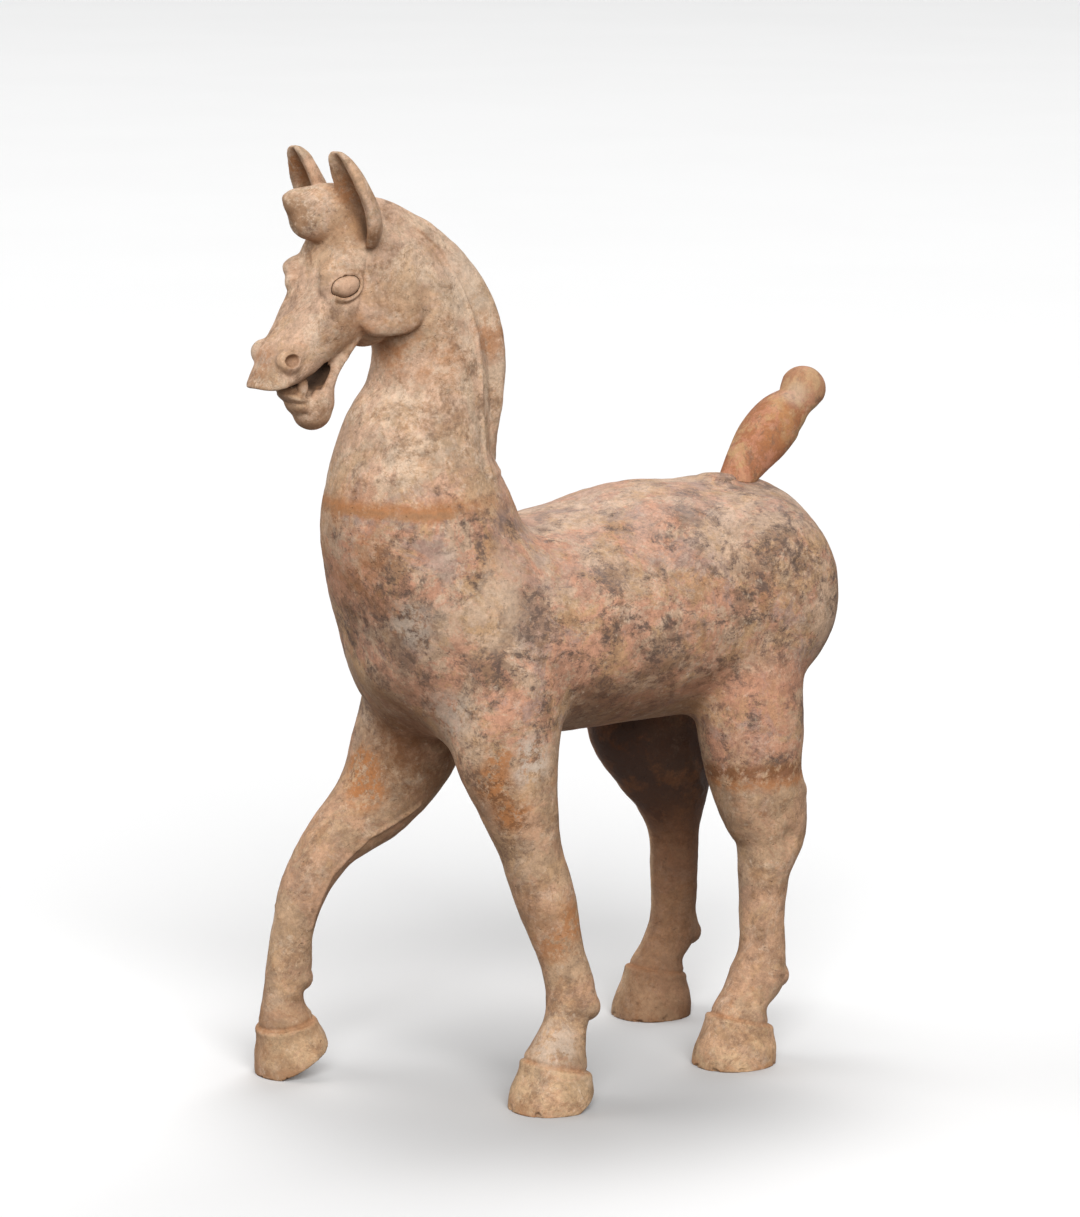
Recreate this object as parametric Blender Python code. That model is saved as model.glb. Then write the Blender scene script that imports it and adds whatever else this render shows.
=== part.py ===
"""A striding terracotta horse of the Sichuan tomb type, with its tail made apart and set in the rump.

The horse faces -X, its left side is towards -Y, and it stands on z = 0. All sizes are in metres.
It is built as a potter builds one: broad masses are joined and smoothed together by hand, and
small crisp parts, such as ears, forelock, jaw and hooves, are pressed on afterwards.
"""

import math

import bmesh
import bpy
import numpy as np
from mathutils import Euler, Matrix, Vector
from mathutils.bvhtree import BVHTree

# Driving dimensions
JOIN_GAP = 0.0003  # clearance between the tail's stub and its socket
BODY_GRAIN = 0.0042  # of the broad masses' skin
FINE_GRAIN = 0.0026  # of the skin with the pressed-on parts
SOFT_REACH = 0.050  # how far a joint between two broad masses is smoothed
SOFT_PASSES = 140
PRESS_REACH = 0.007  # how far the foot of a pressed-on part is smoothed
PRESS_PASSES = 8
HORSE_TRIANGLES = 8200
LOFT_SIDES = 40
LOFT_STEP = 0.011
TAIL_SIDES = 22
TAIL_STEP = 0.009
SHARP_ANGLE = math.radians(50.0)
BUFF = (0.52, 0.37, 0.27)
ORANGE = (0.50, 0.30, 0.18)

# Lofts. Each row is (x, y, z, front, rear, half width): the place of a cross-section's centre and
# its reach to each side. On a path that runs down, "front" is towards -X; on one that runs towards
# -X it is +Z. The half width is along Y.
TRUNK = [
    (0.310, 0.0, 0.574, 0.119, 0.098, 0.120),
    (0.272, 0.0, 0.566, 0.1335, 0.130, 0.144),
    (0.212, 0.0, 0.558, 0.1410, 0.140, 0.156),
    (0.122, 0.0, 0.552, 0.149, 0.137, 0.160),
    (0.022, 0.0, 0.544, 0.138, 0.129, 0.158),
    (-0.078, 0.0, 0.542, 0.132, 0.125, 0.156),
    (-0.148, 0.0, 0.547, 0.128, 0.126, 0.144),
    (-0.188, 0.0, 0.554, 0.100, 0.100, 0.118),
]
NECK = [
    (-0.290, 0.0, 1.034, 0.030, 0.036, 0.042),
    (-0.243, 0.0, 0.997, 0.048, 0.050, 0.052),
    (-0.200, 0.0, 0.949, 0.058, 0.060, 0.056),
    (-0.176, 0.0, 0.889, 0.0635, 0.074, 0.060),
    (-0.175, 0.0, 0.834, 0.073, 0.076, 0.068),
    (-0.192, 0.0, 0.769, 0.0925, 0.092, 0.084),
    (-0.193, 0.0, 0.704, 0.108, 0.119, 0.106),
    (-0.186, 0.0, 0.634, 0.103, 0.126, 0.128),
    (-0.178, 0.0, 0.564, 0.087, 0.110, 0.138),
    (-0.168, 0.0, 0.499, 0.070, 0.100, 0.124),
]
HEAD = [
    (-0.280, 0.0, 1.046, 0.028, 0.045, 0.044),
    (-0.309, 0.0, 0.997, 0.0185, 0.080, 0.052),
    (-0.328, 0.0, 0.956, 0.0120, 0.086, 0.051),
    (-0.346, 0.0, 0.921, 0.019, 0.063, 0.043),
    (-0.363, 0.0, 0.887, 0.0295, 0.036, 0.036),
    (-0.378, 0.0, 0.866, 0.028, 0.014, 0.034),
    (-0.393, 0.0, 0.859, 0.020, 0.012, 0.031),
    (-0.4015, 0.0, 0.8565, 0.010, 0.009, 0.026),
]
JAW = [
    (-0.277, 0.0, 0.921, 0.030, 0.005, 0.037),
    (-0.300, 0.0, 0.886, 0.024, 0.002, 0.032),
    (-0.316, 0.0, 0.860, 0.018, 0.008, 0.027),
    (-0.328, 0.0, 0.839, 0.020, 0.025, 0.025),
    (-0.334, 0.0, 0.824, 0.019, 0.023, 0.022),
]
LEFT_FORELEG = [
    (-0.113, -0.080, 0.594, 0.075, 0.075, 0.060),
    (-0.131, -0.095, 0.504, 0.076, 0.080, 0.064),
    (-0.136, -0.106, 0.426, 0.066, 0.068, 0.056),
    (-0.126, -0.115, 0.366, 0.050, 0.049, 0.047),
    (-0.112, -0.122, 0.306, 0.038, 0.037, 0.037),
    (-0.096, -0.130, 0.244, 0.036, 0.035, 0.035),
    (-0.081, -0.138, 0.183, 0.029, 0.028, 0.028),
    (-0.070, -0.144, 0.126, 0.029, 0.028, 0.029),
    (-0.079, -0.148, 0.093, 0.0295, 0.024, 0.025),
    (-0.093, -0.150, 0.066, 0.032, 0.040, 0.031),
    (-0.100, -0.150, 0.050, 0.0365, 0.0455, 0.0355),
]
RIGHT_FORELEG = [
    (-0.108, 0.080, 0.574, 0.070, 0.070, 0.060),
    (-0.118, 0.095, 0.474, 0.070, 0.066, 0.060),
    (-0.140, 0.106, 0.392, 0.066, 0.074, 0.056),
    (-0.178, 0.114, 0.329, 0.049, 0.054, 0.046),
    (-0.233, 0.126, 0.276, 0.036, 0.032, 0.036),
    (-0.264, 0.134, 0.226, 0.029, 0.028, 0.030),
    (-0.276, 0.140, 0.179, 0.025, 0.025, 0.025),
    (-0.280, 0.145, 0.129, 0.027, 0.029, 0.026),
    (-0.286, 0.147, 0.097, 0.024, 0.025, 0.025),
    (-0.284, 0.149, 0.074, 0.030, 0.031, 0.030),
    (-0.280, 0.150, 0.060, 0.034, 0.036, 0.034),
]
LEFT_HIND_LEG = [
    (0.230, -0.085, 0.554, 0.085, 0.095, 0.065),
    (0.220, -0.100, 0.464, 0.068, 0.073, 0.060),
    (0.218, -0.108, 0.399, 0.064, 0.072, 0.057),
    (0.222, -0.112, 0.344, 0.055, 0.064, 0.050),
    (0.228, -0.114, 0.308, 0.047, 0.071, 0.042),
    (0.239, -0.116, 0.276, 0.040, 0.057, 0.036),
    (0.236, -0.117, 0.234, 0.033, 0.034, 0.031),
    (0.232, -0.118, 0.179, 0.028, 0.028, 0.028),
    (0.230, -0.120, 0.134, 0.028, 0.030, 0.028),
    (0.223, -0.120, 0.099, 0.036, 0.034, 0.033),
    (0.207, -0.120, 0.075, 0.032, 0.026, 0.029),
    (0.198, -0.120, 0.056, 0.0355, 0.038, 0.036),
    (0.194, -0.120, 0.044, 0.038, 0.043, 0.038),
]
RIGHT_HIND_LEG = [
    (0.262, 0.085, 0.554, 0.090, 0.090, 0.065),
    (0.244, 0.100, 0.464, 0.104, 0.082, 0.060),
    (0.237, 0.106, 0.384, 0.099, 0.082, 0.056),
    (0.251, 0.110, 0.324, 0.070, 0.072, 0.050),
    (0.264, 0.114, 0.282, 0.050, 0.055, 0.041),
    (0.272, 0.118, 0.234, 0.032, 0.036, 0.032),
    (0.273, 0.119, 0.179, 0.028, 0.034, 0.028),
    (0.274, 0.120, 0.134, 0.027, 0.031, 0.028),
    (0.271, 0.120, 0.099, 0.030, 0.031, 0.031),
    (0.257, 0.120, 0.075, 0.029, 0.026, 0.029),
    (0.250, 0.120, 0.057, 0.0345, 0.039, 0.036),
    (0.246, 0.120, 0.045, 0.038, 0.042, 0.038),
]
MANE = [
    (-0.300, 0.0, 1.046, 0.020, 0.024, 0.018),
    (-0.239, 0.0, 1.031, 0.040, 0.030, 0.028),
    (-0.190, 0.0, 0.999, 0.045, 0.0325, 0.034),
    (-0.155, 0.0, 0.967, 0.045, 0.0335, 0.038),
    (-0.118, 0.0, 0.921, 0.045, 0.0260, 0.042),
    (-0.105, 0.0, 0.877, 0.045, 0.0205, 0.044),
    (-0.108, 0.0, 0.824, 0.045, 0.0185, 0.046),
    (-0.114, 0.0, 0.780, 0.040, 0.0175, 0.043),
    (-0.110, 0.0, 0.749, 0.030, 0.0205, 0.030),
]
FORELOCK = [
    (-0.262, 0.0, 1.044, 0.022, 0.045, 0.030),
    (-0.290, 0.0, 1.052, 0.030, 0.046, 0.034),
    (-0.316, 0.0, 1.060, 0.024, 0.044, 0.027),
    (-0.340, 0.0, 1.066, 0.014, 0.041, 0.018),
    (-0.356, 0.0, 1.068, 0.009, 0.030, 0.012),
    (-0.362, 0.0, 1.067, 0.007, 0.016, 0.009),
]
TAIL = [
    (0.261, 0.0, 0.662, 0.016, 0.016, 0.017),
    (0.274, 0.0, 0.684, 0.017, 0.020, 0.020),
    (0.294, 0.0, 0.710, 0.024, 0.026, 0.026),
    (0.318, 0.0, 0.738, 0.033, 0.031, 0.031),
    (0.343, 0.0, 0.764, 0.034, 0.027, 0.029),
    (0.3575, 0.0, 0.7725, 0.0275, 0.0245, 0.0250),
    (0.3665, 0.0, 0.7790, 0.0228, 0.0225, 0.0225),
    (0.3735, 0.0, 0.7865, 0.0250, 0.0250, 0.0250),
    (0.3800, 0.0, 0.7947, 0.0272, 0.0272, 0.0272),
]
# The point of the tuft behind each fetlock.
FETLOCKS = {
    "left_fore": (-0.036, -0.146, 0.105),
    "right_fore": (-0.249, 0.146, 0.109),
    "left_hind": (0.265, -0.120, 0.092),
    "right_hind": (0.313, 0.120, 0.090),
}
# The open mouth from the side, as (x, z) corners.
MOUTH = [
    (-0.321, 0.885),
    (-0.333, 0.882),
    (-0.345, 0.8715),
    (-0.363, 0.861),
    (-0.395, 0.855),
    (-0.440, 0.854),
    (-0.440, 0.840),
    (-0.352, 0.8440),
    (-0.337, 0.850),
    (-0.3340, 0.865),
    (-0.326, 0.878),
]
# The narrower hollow behind it.
GULLET = [
    (-0.3220, 0.887),
    (-0.3400, 0.876),
    (-0.3400, 0.853),
    (-0.3270, 0.8565),
    (-0.3215, 0.8640),
    (-0.3125, 0.8810),
]
# From the coronet down: height above the sole's centre, reach to toe, to heel, and half width.
HOOF = [
    (0.066, 0.031, 0.036, 0.031),
    (0.052, 0.037, 0.043, 0.036),
    (0.039, 0.041, 0.047, 0.039),
    (0.020, 0.049, 0.050, 0.046),
    (0.002, 0.053, 0.049, 0.048),
    (-0.014, 0.052, 0.047, 0.046),
]
# Each hoof's coronet edge: x and y of the hoof's middle, the edge's height there, and its slope
# down to the heel in degrees.
CORONETS = {
    "left_fore": (-0.1005, -0.150, 0.050, 15.0),
    "right_fore": (-0.262, 0.150, 0.067, -10.0),
    "left_hind": (0.191, -0.120, 0.055, 15.0),
    "right_hind": (0.244, 0.120, 0.058, 11.0),
}
# Each row is (x, y, z, radius, half opening in degrees) of the ear's rolled leaf, from its tip down.
EAR = [
    (-0.3280, 0.045, 1.1235, 0.0085, 80.0),
    (-0.3255, 0.0455, 1.118, 0.0135, 92.0),
    (-0.319, 0.0465, 1.104, 0.0185, 96.0),
    (-0.308, 0.048, 1.078, 0.0235, 100.0),
    (-0.297, 0.047, 1.050, 0.0250, 104.0),
    (-0.290, 0.045, 1.028, 0.0215, 112.0),
    (-0.286, 0.043, 1.012, 0.0125, 120.0),
]


def clear_scene():
    for thing in list(bpy.data.objects):
        bpy.data.objects.remove(thing, do_unlink=True)


def flow(rows, step):
    """Even points on a smooth curve through the rows, in all their columns at once."""
    rows = np.array(rows, dtype=float)
    spans = np.linalg.norm(np.diff(rows[:, :3], axis=0), axis=1)
    along = np.concatenate([[0.0], np.cumsum(spans)])
    slopes = np.gradient(rows, along, axis=0)
    places = np.linspace(0.0, along[-1], max(3, round(along[-1] / step) + 1))
    which = np.clip(np.searchsorted(along, places, side="right") - 1, 0, len(spans) - 1)
    span = spans[which][:, None]
    t = (places[:, None] - along[which][:, None]) / span
    start = rows[which] * (2 * t**3 - 3 * t**2 + 1) + slopes[which] * span * (t**3 - 2 * t**2 + t)
    end = rows[which + 1] * (3 * t**2 - 2 * t**3) + slopes[which + 1] * span * (t**3 - t**2)
    return start + end


def mesh_object(name, bm):
    mesh = bpy.data.meshes.new(name)
    bm.to_mesh(mesh)
    bm.free()
    thing = bpy.data.objects.new(name, mesh)
    bpy.context.scene.collection.objects.link(thing)
    return thing


def loft(name, rows, square=2.0, dome=0.6, step=LOFT_STEP, sides=LOFT_SIDES, grow=0.0):
    """A closed body swept along the rows. A square of 2 gives oval sections, and more fills their corners."""
    points = flow(rows, step)
    points[:, 3:] += grow
    centres = [Vector(row[:3]) for row in points]
    tangents = [Vector(row) for row in np.gradient(points[:, :3], axis=0)]
    turns = np.linspace(0.0, 2 * math.pi, sides, endpoint=False)
    bm = bmesh.new()

    def ring(place, shrink, shift):
        along = tangents[place].normalized()
        side = (Vector((0, 1, 0)) - along * along.y).normalized()
        front = side.cross(along)
        reach_front, reach_rear, half = points[place][3:] * shrink
        verts = []
        for turn in turns:
            c, s = math.cos(turn), math.sin(turn)
            c = math.copysign(abs(c) ** (2 / square), c)
            s = math.copysign(abs(s) ** (2 / square), s)
            offset = front * c * (reach_front if c > 0 else reach_rear) + side * s * half
            verts.append(bm.verts.new(centres[place] + offset + along * shift))
        return verts

    last = len(points) - 1
    caps = [math.radians(angle) for angle in (80, 60, 40, 20)]
    depth = [dome * points[end][3:].mean() for end in (0, last)]
    rings = [ring(0, math.cos(a), -depth[0] * math.sin(a)) for a in caps]
    rings += [ring(place, 1.0, 0.0) for place in range(len(points))]
    rings += [ring(last, math.cos(a), depth[1] * math.sin(a)) for a in reversed(caps)]
    for lower, upper in zip(rings, rings[1:]):
        for i in range(sides):
            j = (i + 1) % sides
            bm.faces.new((lower[i], lower[j], upper[j], upper[i]))
    bm.faces.new(rings[0][::-1])
    bm.faces.new(rings[-1])
    bmesh.ops.recalc_face_normals(bm, faces=bm.faces)
    return mesh_object(name, bm)


def ball(name, centre, radii, turn=(0.0, 0.0, 0.0), square=2.0):
    """An ellipsoid, turned by degrees about X, Y and Z. A square above 2 makes it a pillow."""
    spin = Euler([math.radians(angle) for angle in turn]).to_matrix().to_4x4()
    bm = bmesh.new()
    bmesh.ops.create_icosphere(bm, subdivisions=4, radius=1.0)
    if square != 2.0:
        for vert in bm.verts:
            vert.co *= sum(abs(c) ** square for c in vert.co) ** (-1 / square)
    place = Matrix.Translation(centre) @ spin @ Matrix.Diagonal((*radii, 1.0))
    bmesh.ops.transform(bm, matrix=place, verts=bm.verts)
    return mesh_object(name, bm)


def both_sides(name, centre, radii, turn=(0.0, 0.0, 0.0), square=2.0):
    """The same ball on the right side and mirrored on the left."""
    x, y, z = centre
    tip, lean, heading = turn
    return [
        ball(name + "_right", centre, radii, turn, square),
        ball(name + "_left", (x, -y, z), radii, (-tip, lean, -heading), square),
    ]


def slab(name, low, high):
    bm = bmesh.new()
    size = Vector(high) - Vector(low)
    place = Matrix.Translation((Vector(high) + Vector(low)) / 2) @ Matrix.Diagonal((*size, 1.0))
    bmesh.ops.create_cube(bm, size=1.0, matrix=place)
    return mesh_object(name, bm)


def hoof(foot, sole=0.0, tip=0.0, heel=0.0, pared=30.0, short=0.0, long=0.0):
    """A flared hoof with its sole's centre at the given height, tipped by degrees onto its toe.

    Behind the centre by heel, the sole is pared away upwards at an angle of pared degrees. The
    heel is drawn in by the short length, and the toe's foot drawn out by the long one.
    """
    x, y, coronet, slope = CORONETS[foot]
    c, s = math.cos(math.radians(tip)), math.sin(math.radians(tip))
    top = HOOF[0][0]
    rows = [
        (x - s * up, y, sole + c * up, toe + long * (1.0 - up / top), back - short, half)
        for up, toe, back, half in HOOF
    ]
    made = loft(foot + "_hoof", rows, square=2.15, dome=0.1, step=0.006)
    below = slab(foot + "_paring", (0.0, -0.08, -0.08), (0.16, 0.08, 0.0))
    below.data.transform(Matrix.Rotation(math.radians(-pared), 4, "Y"))
    below.data.transform(Matrix.Translation((x + heel, y, 0.0)))
    above = slab(foot + "_top", (-0.12, -0.08, 0.0), (0.12, 0.08, 0.09))
    above.data.transform(Matrix.Rotation(math.radians(slope), 4, "Y"))
    above.data.transform(Matrix.Translation((x, y, coronet)))
    cut(made, below, above)
    return made


def ear(name, side, lean=0.0, size=1.0, thickness=0.0105, turned=4.0):
    """A leaf of clay rolled into an open trough, whose mouth faces forward and a little outward."""
    rows = flow([(x + lean, side * y, z, radius * size, opening) for x, y, z, radius, opening in EAR], 0.004)
    heading = math.radians(turned)
    back = Vector((math.cos(heading), -side * math.sin(heading), 0.0))
    out = Vector((math.sin(heading), side * math.cos(heading), 0.0))
    bm = bmesh.new()
    skins = []
    across = 17
    for inward in (0.0, 1.0):
        grid = []
        for x, y, z, radius, opening in rows.tolist():
            radius = max(radius - inward * thickness, 0.0015)
            line = []
            for u in np.linspace(-1.0, 1.0, across).tolist():
                angle = math.radians(opening) * u
                spot = Vector((x, y, z)) + radius * (back * math.cos(angle) + out * math.sin(angle) * 1.15)
                line.append(bm.verts.new(spot))
            grid.append(line)
        skins.append(grid)
    outer, inner = skins
    last = len(rows) - 1
    for i in range(last):
        for j in range(across - 1):
            bm.faces.new((outer[i][j], outer[i][j + 1], outer[i + 1][j + 1], outer[i + 1][j]))
            bm.faces.new((inner[i][j], inner[i + 1][j], inner[i + 1][j + 1], inner[i][j + 1]))
        for j in (0, across - 1):
            bm.faces.new((outer[i][j], outer[i + 1][j], inner[i + 1][j], inner[i][j]))
    for i in (0, last):
        for j in range(across - 1):
            bm.faces.new((outer[i][j], inner[i][j], inner[i][j + 1], outer[i][j + 1]))
    bmesh.ops.recalc_face_normals(bm, faces=bm.faces)
    return mesh_object(name, bm)


def prism(name, outline, half_width):
    """A flat outline of (x, z) corners, extruded to both sides of the middle plane."""
    bm = bmesh.new()
    face = bm.faces.new([bm.verts.new((x, -half_width, z)) for x, z in outline])
    made = bmesh.ops.extrude_face_region(bm, geom=[face])
    corners = [item for item in made["geom"] if isinstance(item, bmesh.types.BMVert)]
    bmesh.ops.translate(bm, verts=corners, vec=(0.0, 2 * half_width, 0.0))
    bmesh.ops.recalc_face_normals(bm, faces=bm.faces)
    return mesh_object(name, bm)


def broad_masses():
    """Body, neck, skull and legs: what the hand smooths together."""
    masses = [
        loft("trunk", TRUNK, dome=0.7),
        loft("neck", NECK),
        loft("head", HEAD, square=2.5),
        loft("left_foreleg", LEFT_FORELEG),
        loft("right_foreleg", RIGHT_FORELEG),
        loft("left_hind_leg", LEFT_HIND_LEG),
        loft("right_hind_leg", RIGHT_HIND_LEG),
    ]
    masses += both_sides("haunch", (0.243, 0.072, 0.562), (0.124, 0.085, 0.124))
    masses += both_sides("shoulder", (-0.140, 0.056, 0.554), (0.104, 0.090, 0.140))
    return masses


def fetlock(name, x, y, z):
    """A tuft that flares down the back of the leg to a point, cut square beneath."""
    rows = [
        (x - 0.040, y, z + 0.100, 0.006, 0.006, 0.010),
        (x - 0.034, y, z + 0.070, 0.010, 0.011, 0.018),
        (x - 0.029, y, z + 0.042, 0.016, 0.017, 0.024),
        (x - 0.024, y, z + 0.018, 0.020, 0.019, 0.026),
        (x - 0.021, y, z + 0.004, 0.021, 0.0205, 0.024),
        (x - 0.023, y, z - 0.004, 0.018, 0.014, 0.016),
    ]
    return loft(name, rows, dome=0.15)


def pressed_masses():
    """Parts pressed onto the body, whose feet are rubbed in."""
    masses = [
        loft("mane", MANE, square=2.5, dome=0.3),
        loft("forelock", FORELOCK, square=2.3, dome=0.4, step=0.006),
        loft("jaw", JAW, step=0.006),
        ball("throat", (-0.262, 0.0, 0.923), (0.034, 0.040, 0.030)),
        ball("tail_clay", (0.243, -0.007, 0.6965), (0.022, 0.026, 0.0062), (0, 0, 10)),
        ball("chin", (-0.3310, 0.0, 0.8240), (0.0235, 0.021, 0.022)),
        ball("under_lip", (-0.3475, 0.0, 0.832), (0.020, 0.020, 0.013), (0, 40, 0)),
        ball("right_brow", (-0.3167, 0.0385, 0.9890), (0.0255, 0.0125, 0.0110), (0, -16, 0), square=3.0),
        ball("left_brow", (-0.3150, -0.0340, 0.9890), (0.0270, 0.0125, 0.0100), (0, -16, 0)),
        ball("near_nostril", (-0.3790, -0.029, 0.8870), (0.0155, 0.0125, 0.0160)),
        ball("far_nostril", (-0.3770, 0.029, 0.8915), (0.0155, 0.0125, 0.0160)),
        ear("right_ear", 1, lean=0.0005, size=1.07),
        ear("left_ear", -1),
    ]
    masses += both_sides("cheek", (-0.254, 0.0430, 0.955), (0.046, 0.0122, 0.046), (6, 0, 5), square=3.0)
    masses += both_sides("orbit", (-0.3110, 0.0360, 0.9725), (0.0310, 0.0160, 0.0220), (0, -16, 0))
    return masses


def crisp_masses():
    """Hooves, fetlock tufts, eyes, tongue and lip, whose edges stay."""
    masses = [
        hoof("left_fore", heel=0.006, pared=24.0, short=0.002),
        hoof("right_fore", 0.016, 20.0, -0.043, 30.0, short=0.014, long=0.004),
        hoof("left_hind", heel=0.036),
        hoof("right_hind", heel=0.036, short=0.003),
        ball("tongue", (-0.357, 0.0, 0.8505), (0.022, 0.013, 0.0085), (0, 10, 0)),
        ball("lower_lip", (-0.3540, 0.0, 0.840), (0.022, 0.021, 0.0075), (0, 24, 0)),
    ]
    for name, place in FETLOCKS.items():
        masses.append(fetlock(name + "_fetlock", *place))
    masses += both_sides("eye", (-0.3150, 0.0475, 0.9705), (0.0182, 0.0122, 0.0124), (0, -16, 0))
    return masses


def bake(thing):
    """Applies the modifiers, so that the mesh is what they made."""
    graph = bpy.context.evaluated_depsgraph_get()
    made = bpy.data.meshes.new_from_object(thing.evaluated_get(graph))
    thing.modifiers.clear()
    thing.data = made


def cut(thing, *cutters):
    """Takes the cutters, which don't touch each other, out of the thing, and removes them."""
    cutter = fused("cutter", cutters)
    boolean = thing.modifiers.new("cut", "BOOLEAN")
    boolean.operation = "DIFFERENCE"
    boolean.solver = "EXACT"
    boolean.object = cutter
    bake(thing)
    remove([cutter])


def fused(name, masses):
    """All the masses in one mesh, as they are."""
    bm = bmesh.new()
    for mass in masses:
        bm.from_mesh(mass.data)
    remove(masses)
    return mesh_object(name, bm)


def joints_between(points, trees, reach):
    """How near each point is to where two of the masses meet: 1 on the joint, 0 beyond the reach."""
    nearest = np.full((len(points), 2), reach)
    for tree, low, high in trees:
        close = np.all(points > low - reach, axis=1) & np.all(points < high + reach, axis=1)
        for i in np.flatnonzero(close):
            gap = tree.find_nearest(Vector(points[i]), reach)[3]
            if gap is None:
                continue
            if gap < nearest[i, 0]:
                nearest[i] = gap, nearest[i, 0]
            elif gap < nearest[i, 1]:
                nearest[i, 1] = gap
    nearness = 1.0 - nearest[:, 1] / reach
    return nearness * nearness * (3.0 - 2.0 * nearness)


def surfaces_of(masses):
    """A search tree and the bounds of each mass."""
    graph = bpy.context.evaluated_depsgraph_get()
    found = []
    for mass in masses:
        corners = np.array([corner[:] for corner in mass.bound_box])
        found.append((BVHTree.FromObject(mass, graph), corners.min(0), corners.max(0)))
    return found


def coordinates(mesh):
    points = np.empty(len(mesh.vertices) * 3, dtype=np.float32)
    mesh.vertices.foreach_get("co", points)
    return points.reshape(-1, 3)


def remesh(name, masses, grain, reach, passes):
    """One skin around all the masses, on an even grain, smoothed along the joints between them."""
    surfaces = surfaces_of(masses)
    body = fused(name, masses)
    modifier = body.modifiers.new("grain", "REMESH")
    modifier.mode = "VOXEL"
    modifier.voxel_size = grain
    bake(body)
    smooth(body, passes, joints_between(coordinates(body.data), surfaces, reach))
    return body


def remove(things):
    for thing in things:
        bpy.data.objects.remove(thing, do_unlink=True)


def smooth(thing, passes, weights=None, factor=0.5):
    """Rubs the surface down, where weights are given in proportion to them."""
    modifier = thing.modifiers.new("smooth", "SMOOTH")
    modifier.factor = factor
    modifier.iterations = passes
    if weights is not None:
        group = thing.vertex_groups.new(name="rubbed")
        for i in np.flatnonzero(weights > 0.01):
            group.add([int(i)], float(weights[i]), "REPLACE")
        modifier.vertex_group = "rubbed"
    bake(thing)
    thing.vertex_groups.clear()


def thin(thing, triangles):
    """Fewer and larger facets, small ones staying where the form bends most."""
    decimate = thing.modifiers.new("thin", "DECIMATE")
    decimate.ratio = triangles / (2 * len(thing.data.polygons))
    bake(thing)


def tail(name="tail", grow=0.0):
    """A club of clay with a round knob, tapering at its foot to a stub that sits in the rump."""
    return loft(name, TAIL, square=2.2, dome=1.0, step=TAIL_STEP, sides=TAIL_SIDES, grow=grow)


def horse():
    body = remesh("body", broad_masses(), BODY_GRAIN, SOFT_REACH, SOFT_PASSES)
    body = remesh("pressed", [body] + pressed_masses(), FINE_GRAIN, PRESS_REACH, PRESS_PASSES)
    cut(
        body,
        prism("mouth", MOUTH, 0.06),
        *both_sides("nostril_bowl", (-0.3810, 0.0480, 0.8870), (0.0122, 0.0090, 0.0108)),
        ball("forelock_break", (-0.3870, 0.0, 1.0265), (0.047, 0.045, 0.034), (0, 52, 0)),
        slab("ground", (-1.0, -1.0, -0.1), (1.0, 1.0, 0.0)),
    )
    cut(body, prism("gullet", GULLET, 0.021))
    body = remesh("horse", [body] + crisp_masses(), FINE_GRAIN, PRESS_REACH, 3)
    smooth(body, 1)
    thin(body, HORSE_TRIANGLES)
    cut(body, slab("ground", (-1.0, -1.0, -0.1), (1.0, 1.0, 0.0)))
    cut(body, tail("socket", JOIN_GAP))
    return body


def fire(thing, name, colour, roughness):
    """Gives the piece its own clay, and shades its rounded facets smooth."""
    clay = bpy.data.materials.new(name)
    clay.use_nodes = True
    shader = clay.node_tree.nodes["Principled BSDF"]
    shader.inputs["Base Color"].default_value = (*colour, 1.0)
    shader.inputs["Roughness"].default_value = roughness
    shader.inputs["Metallic"].default_value = 0.0
    clay.diffuse_color = (*colour, 1.0)
    thing.data.materials.clear()
    thing.data.materials.append(clay)
    for face in thing.data.polygons:
        face.material_index = 0
    thing.data.shade_smooth()
    thing.data.set_sharp_from_angle(angle=SHARP_ANGLE)


def main():
    clear_scene()
    fire(horse(), "buff_terracotta", BUFF, 0.85)
    fire(tail(), "orange_terracotta", ORANGE, 0.85)


main()
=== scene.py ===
"""A striding terracotta horse of the Sichuan tomb type, with its tail made apart and set in the rump.

The horse faces -X, its left side is towards -Y, and it stands on z = 0. All sizes are in metres.
"""

import math
import random

import bmesh
import bpy
import numpy as np
from bpy.props import FloatProperty, FloatVectorProperty, IntProperty, PointerProperty
from mathutils import Euler, Matrix, Vector, noise
from mathutils.bvhtree import BVHTree


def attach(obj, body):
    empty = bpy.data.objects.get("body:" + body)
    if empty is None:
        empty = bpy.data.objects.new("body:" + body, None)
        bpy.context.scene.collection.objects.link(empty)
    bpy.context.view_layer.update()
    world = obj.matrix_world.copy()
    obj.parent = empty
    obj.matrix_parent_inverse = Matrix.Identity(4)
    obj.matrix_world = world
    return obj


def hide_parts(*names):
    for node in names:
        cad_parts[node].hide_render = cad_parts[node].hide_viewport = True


bl_info = {
    "name": "Terracotta Horse",
    "version": (1, 0, 0),
    "blender": (4, 5, 0),
    "location": "3D View > Sidebar > Terracotta Horse",
    "description": "Models, fires and stages a hollow terracotta horse",
    "category": "Object",
}

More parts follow.
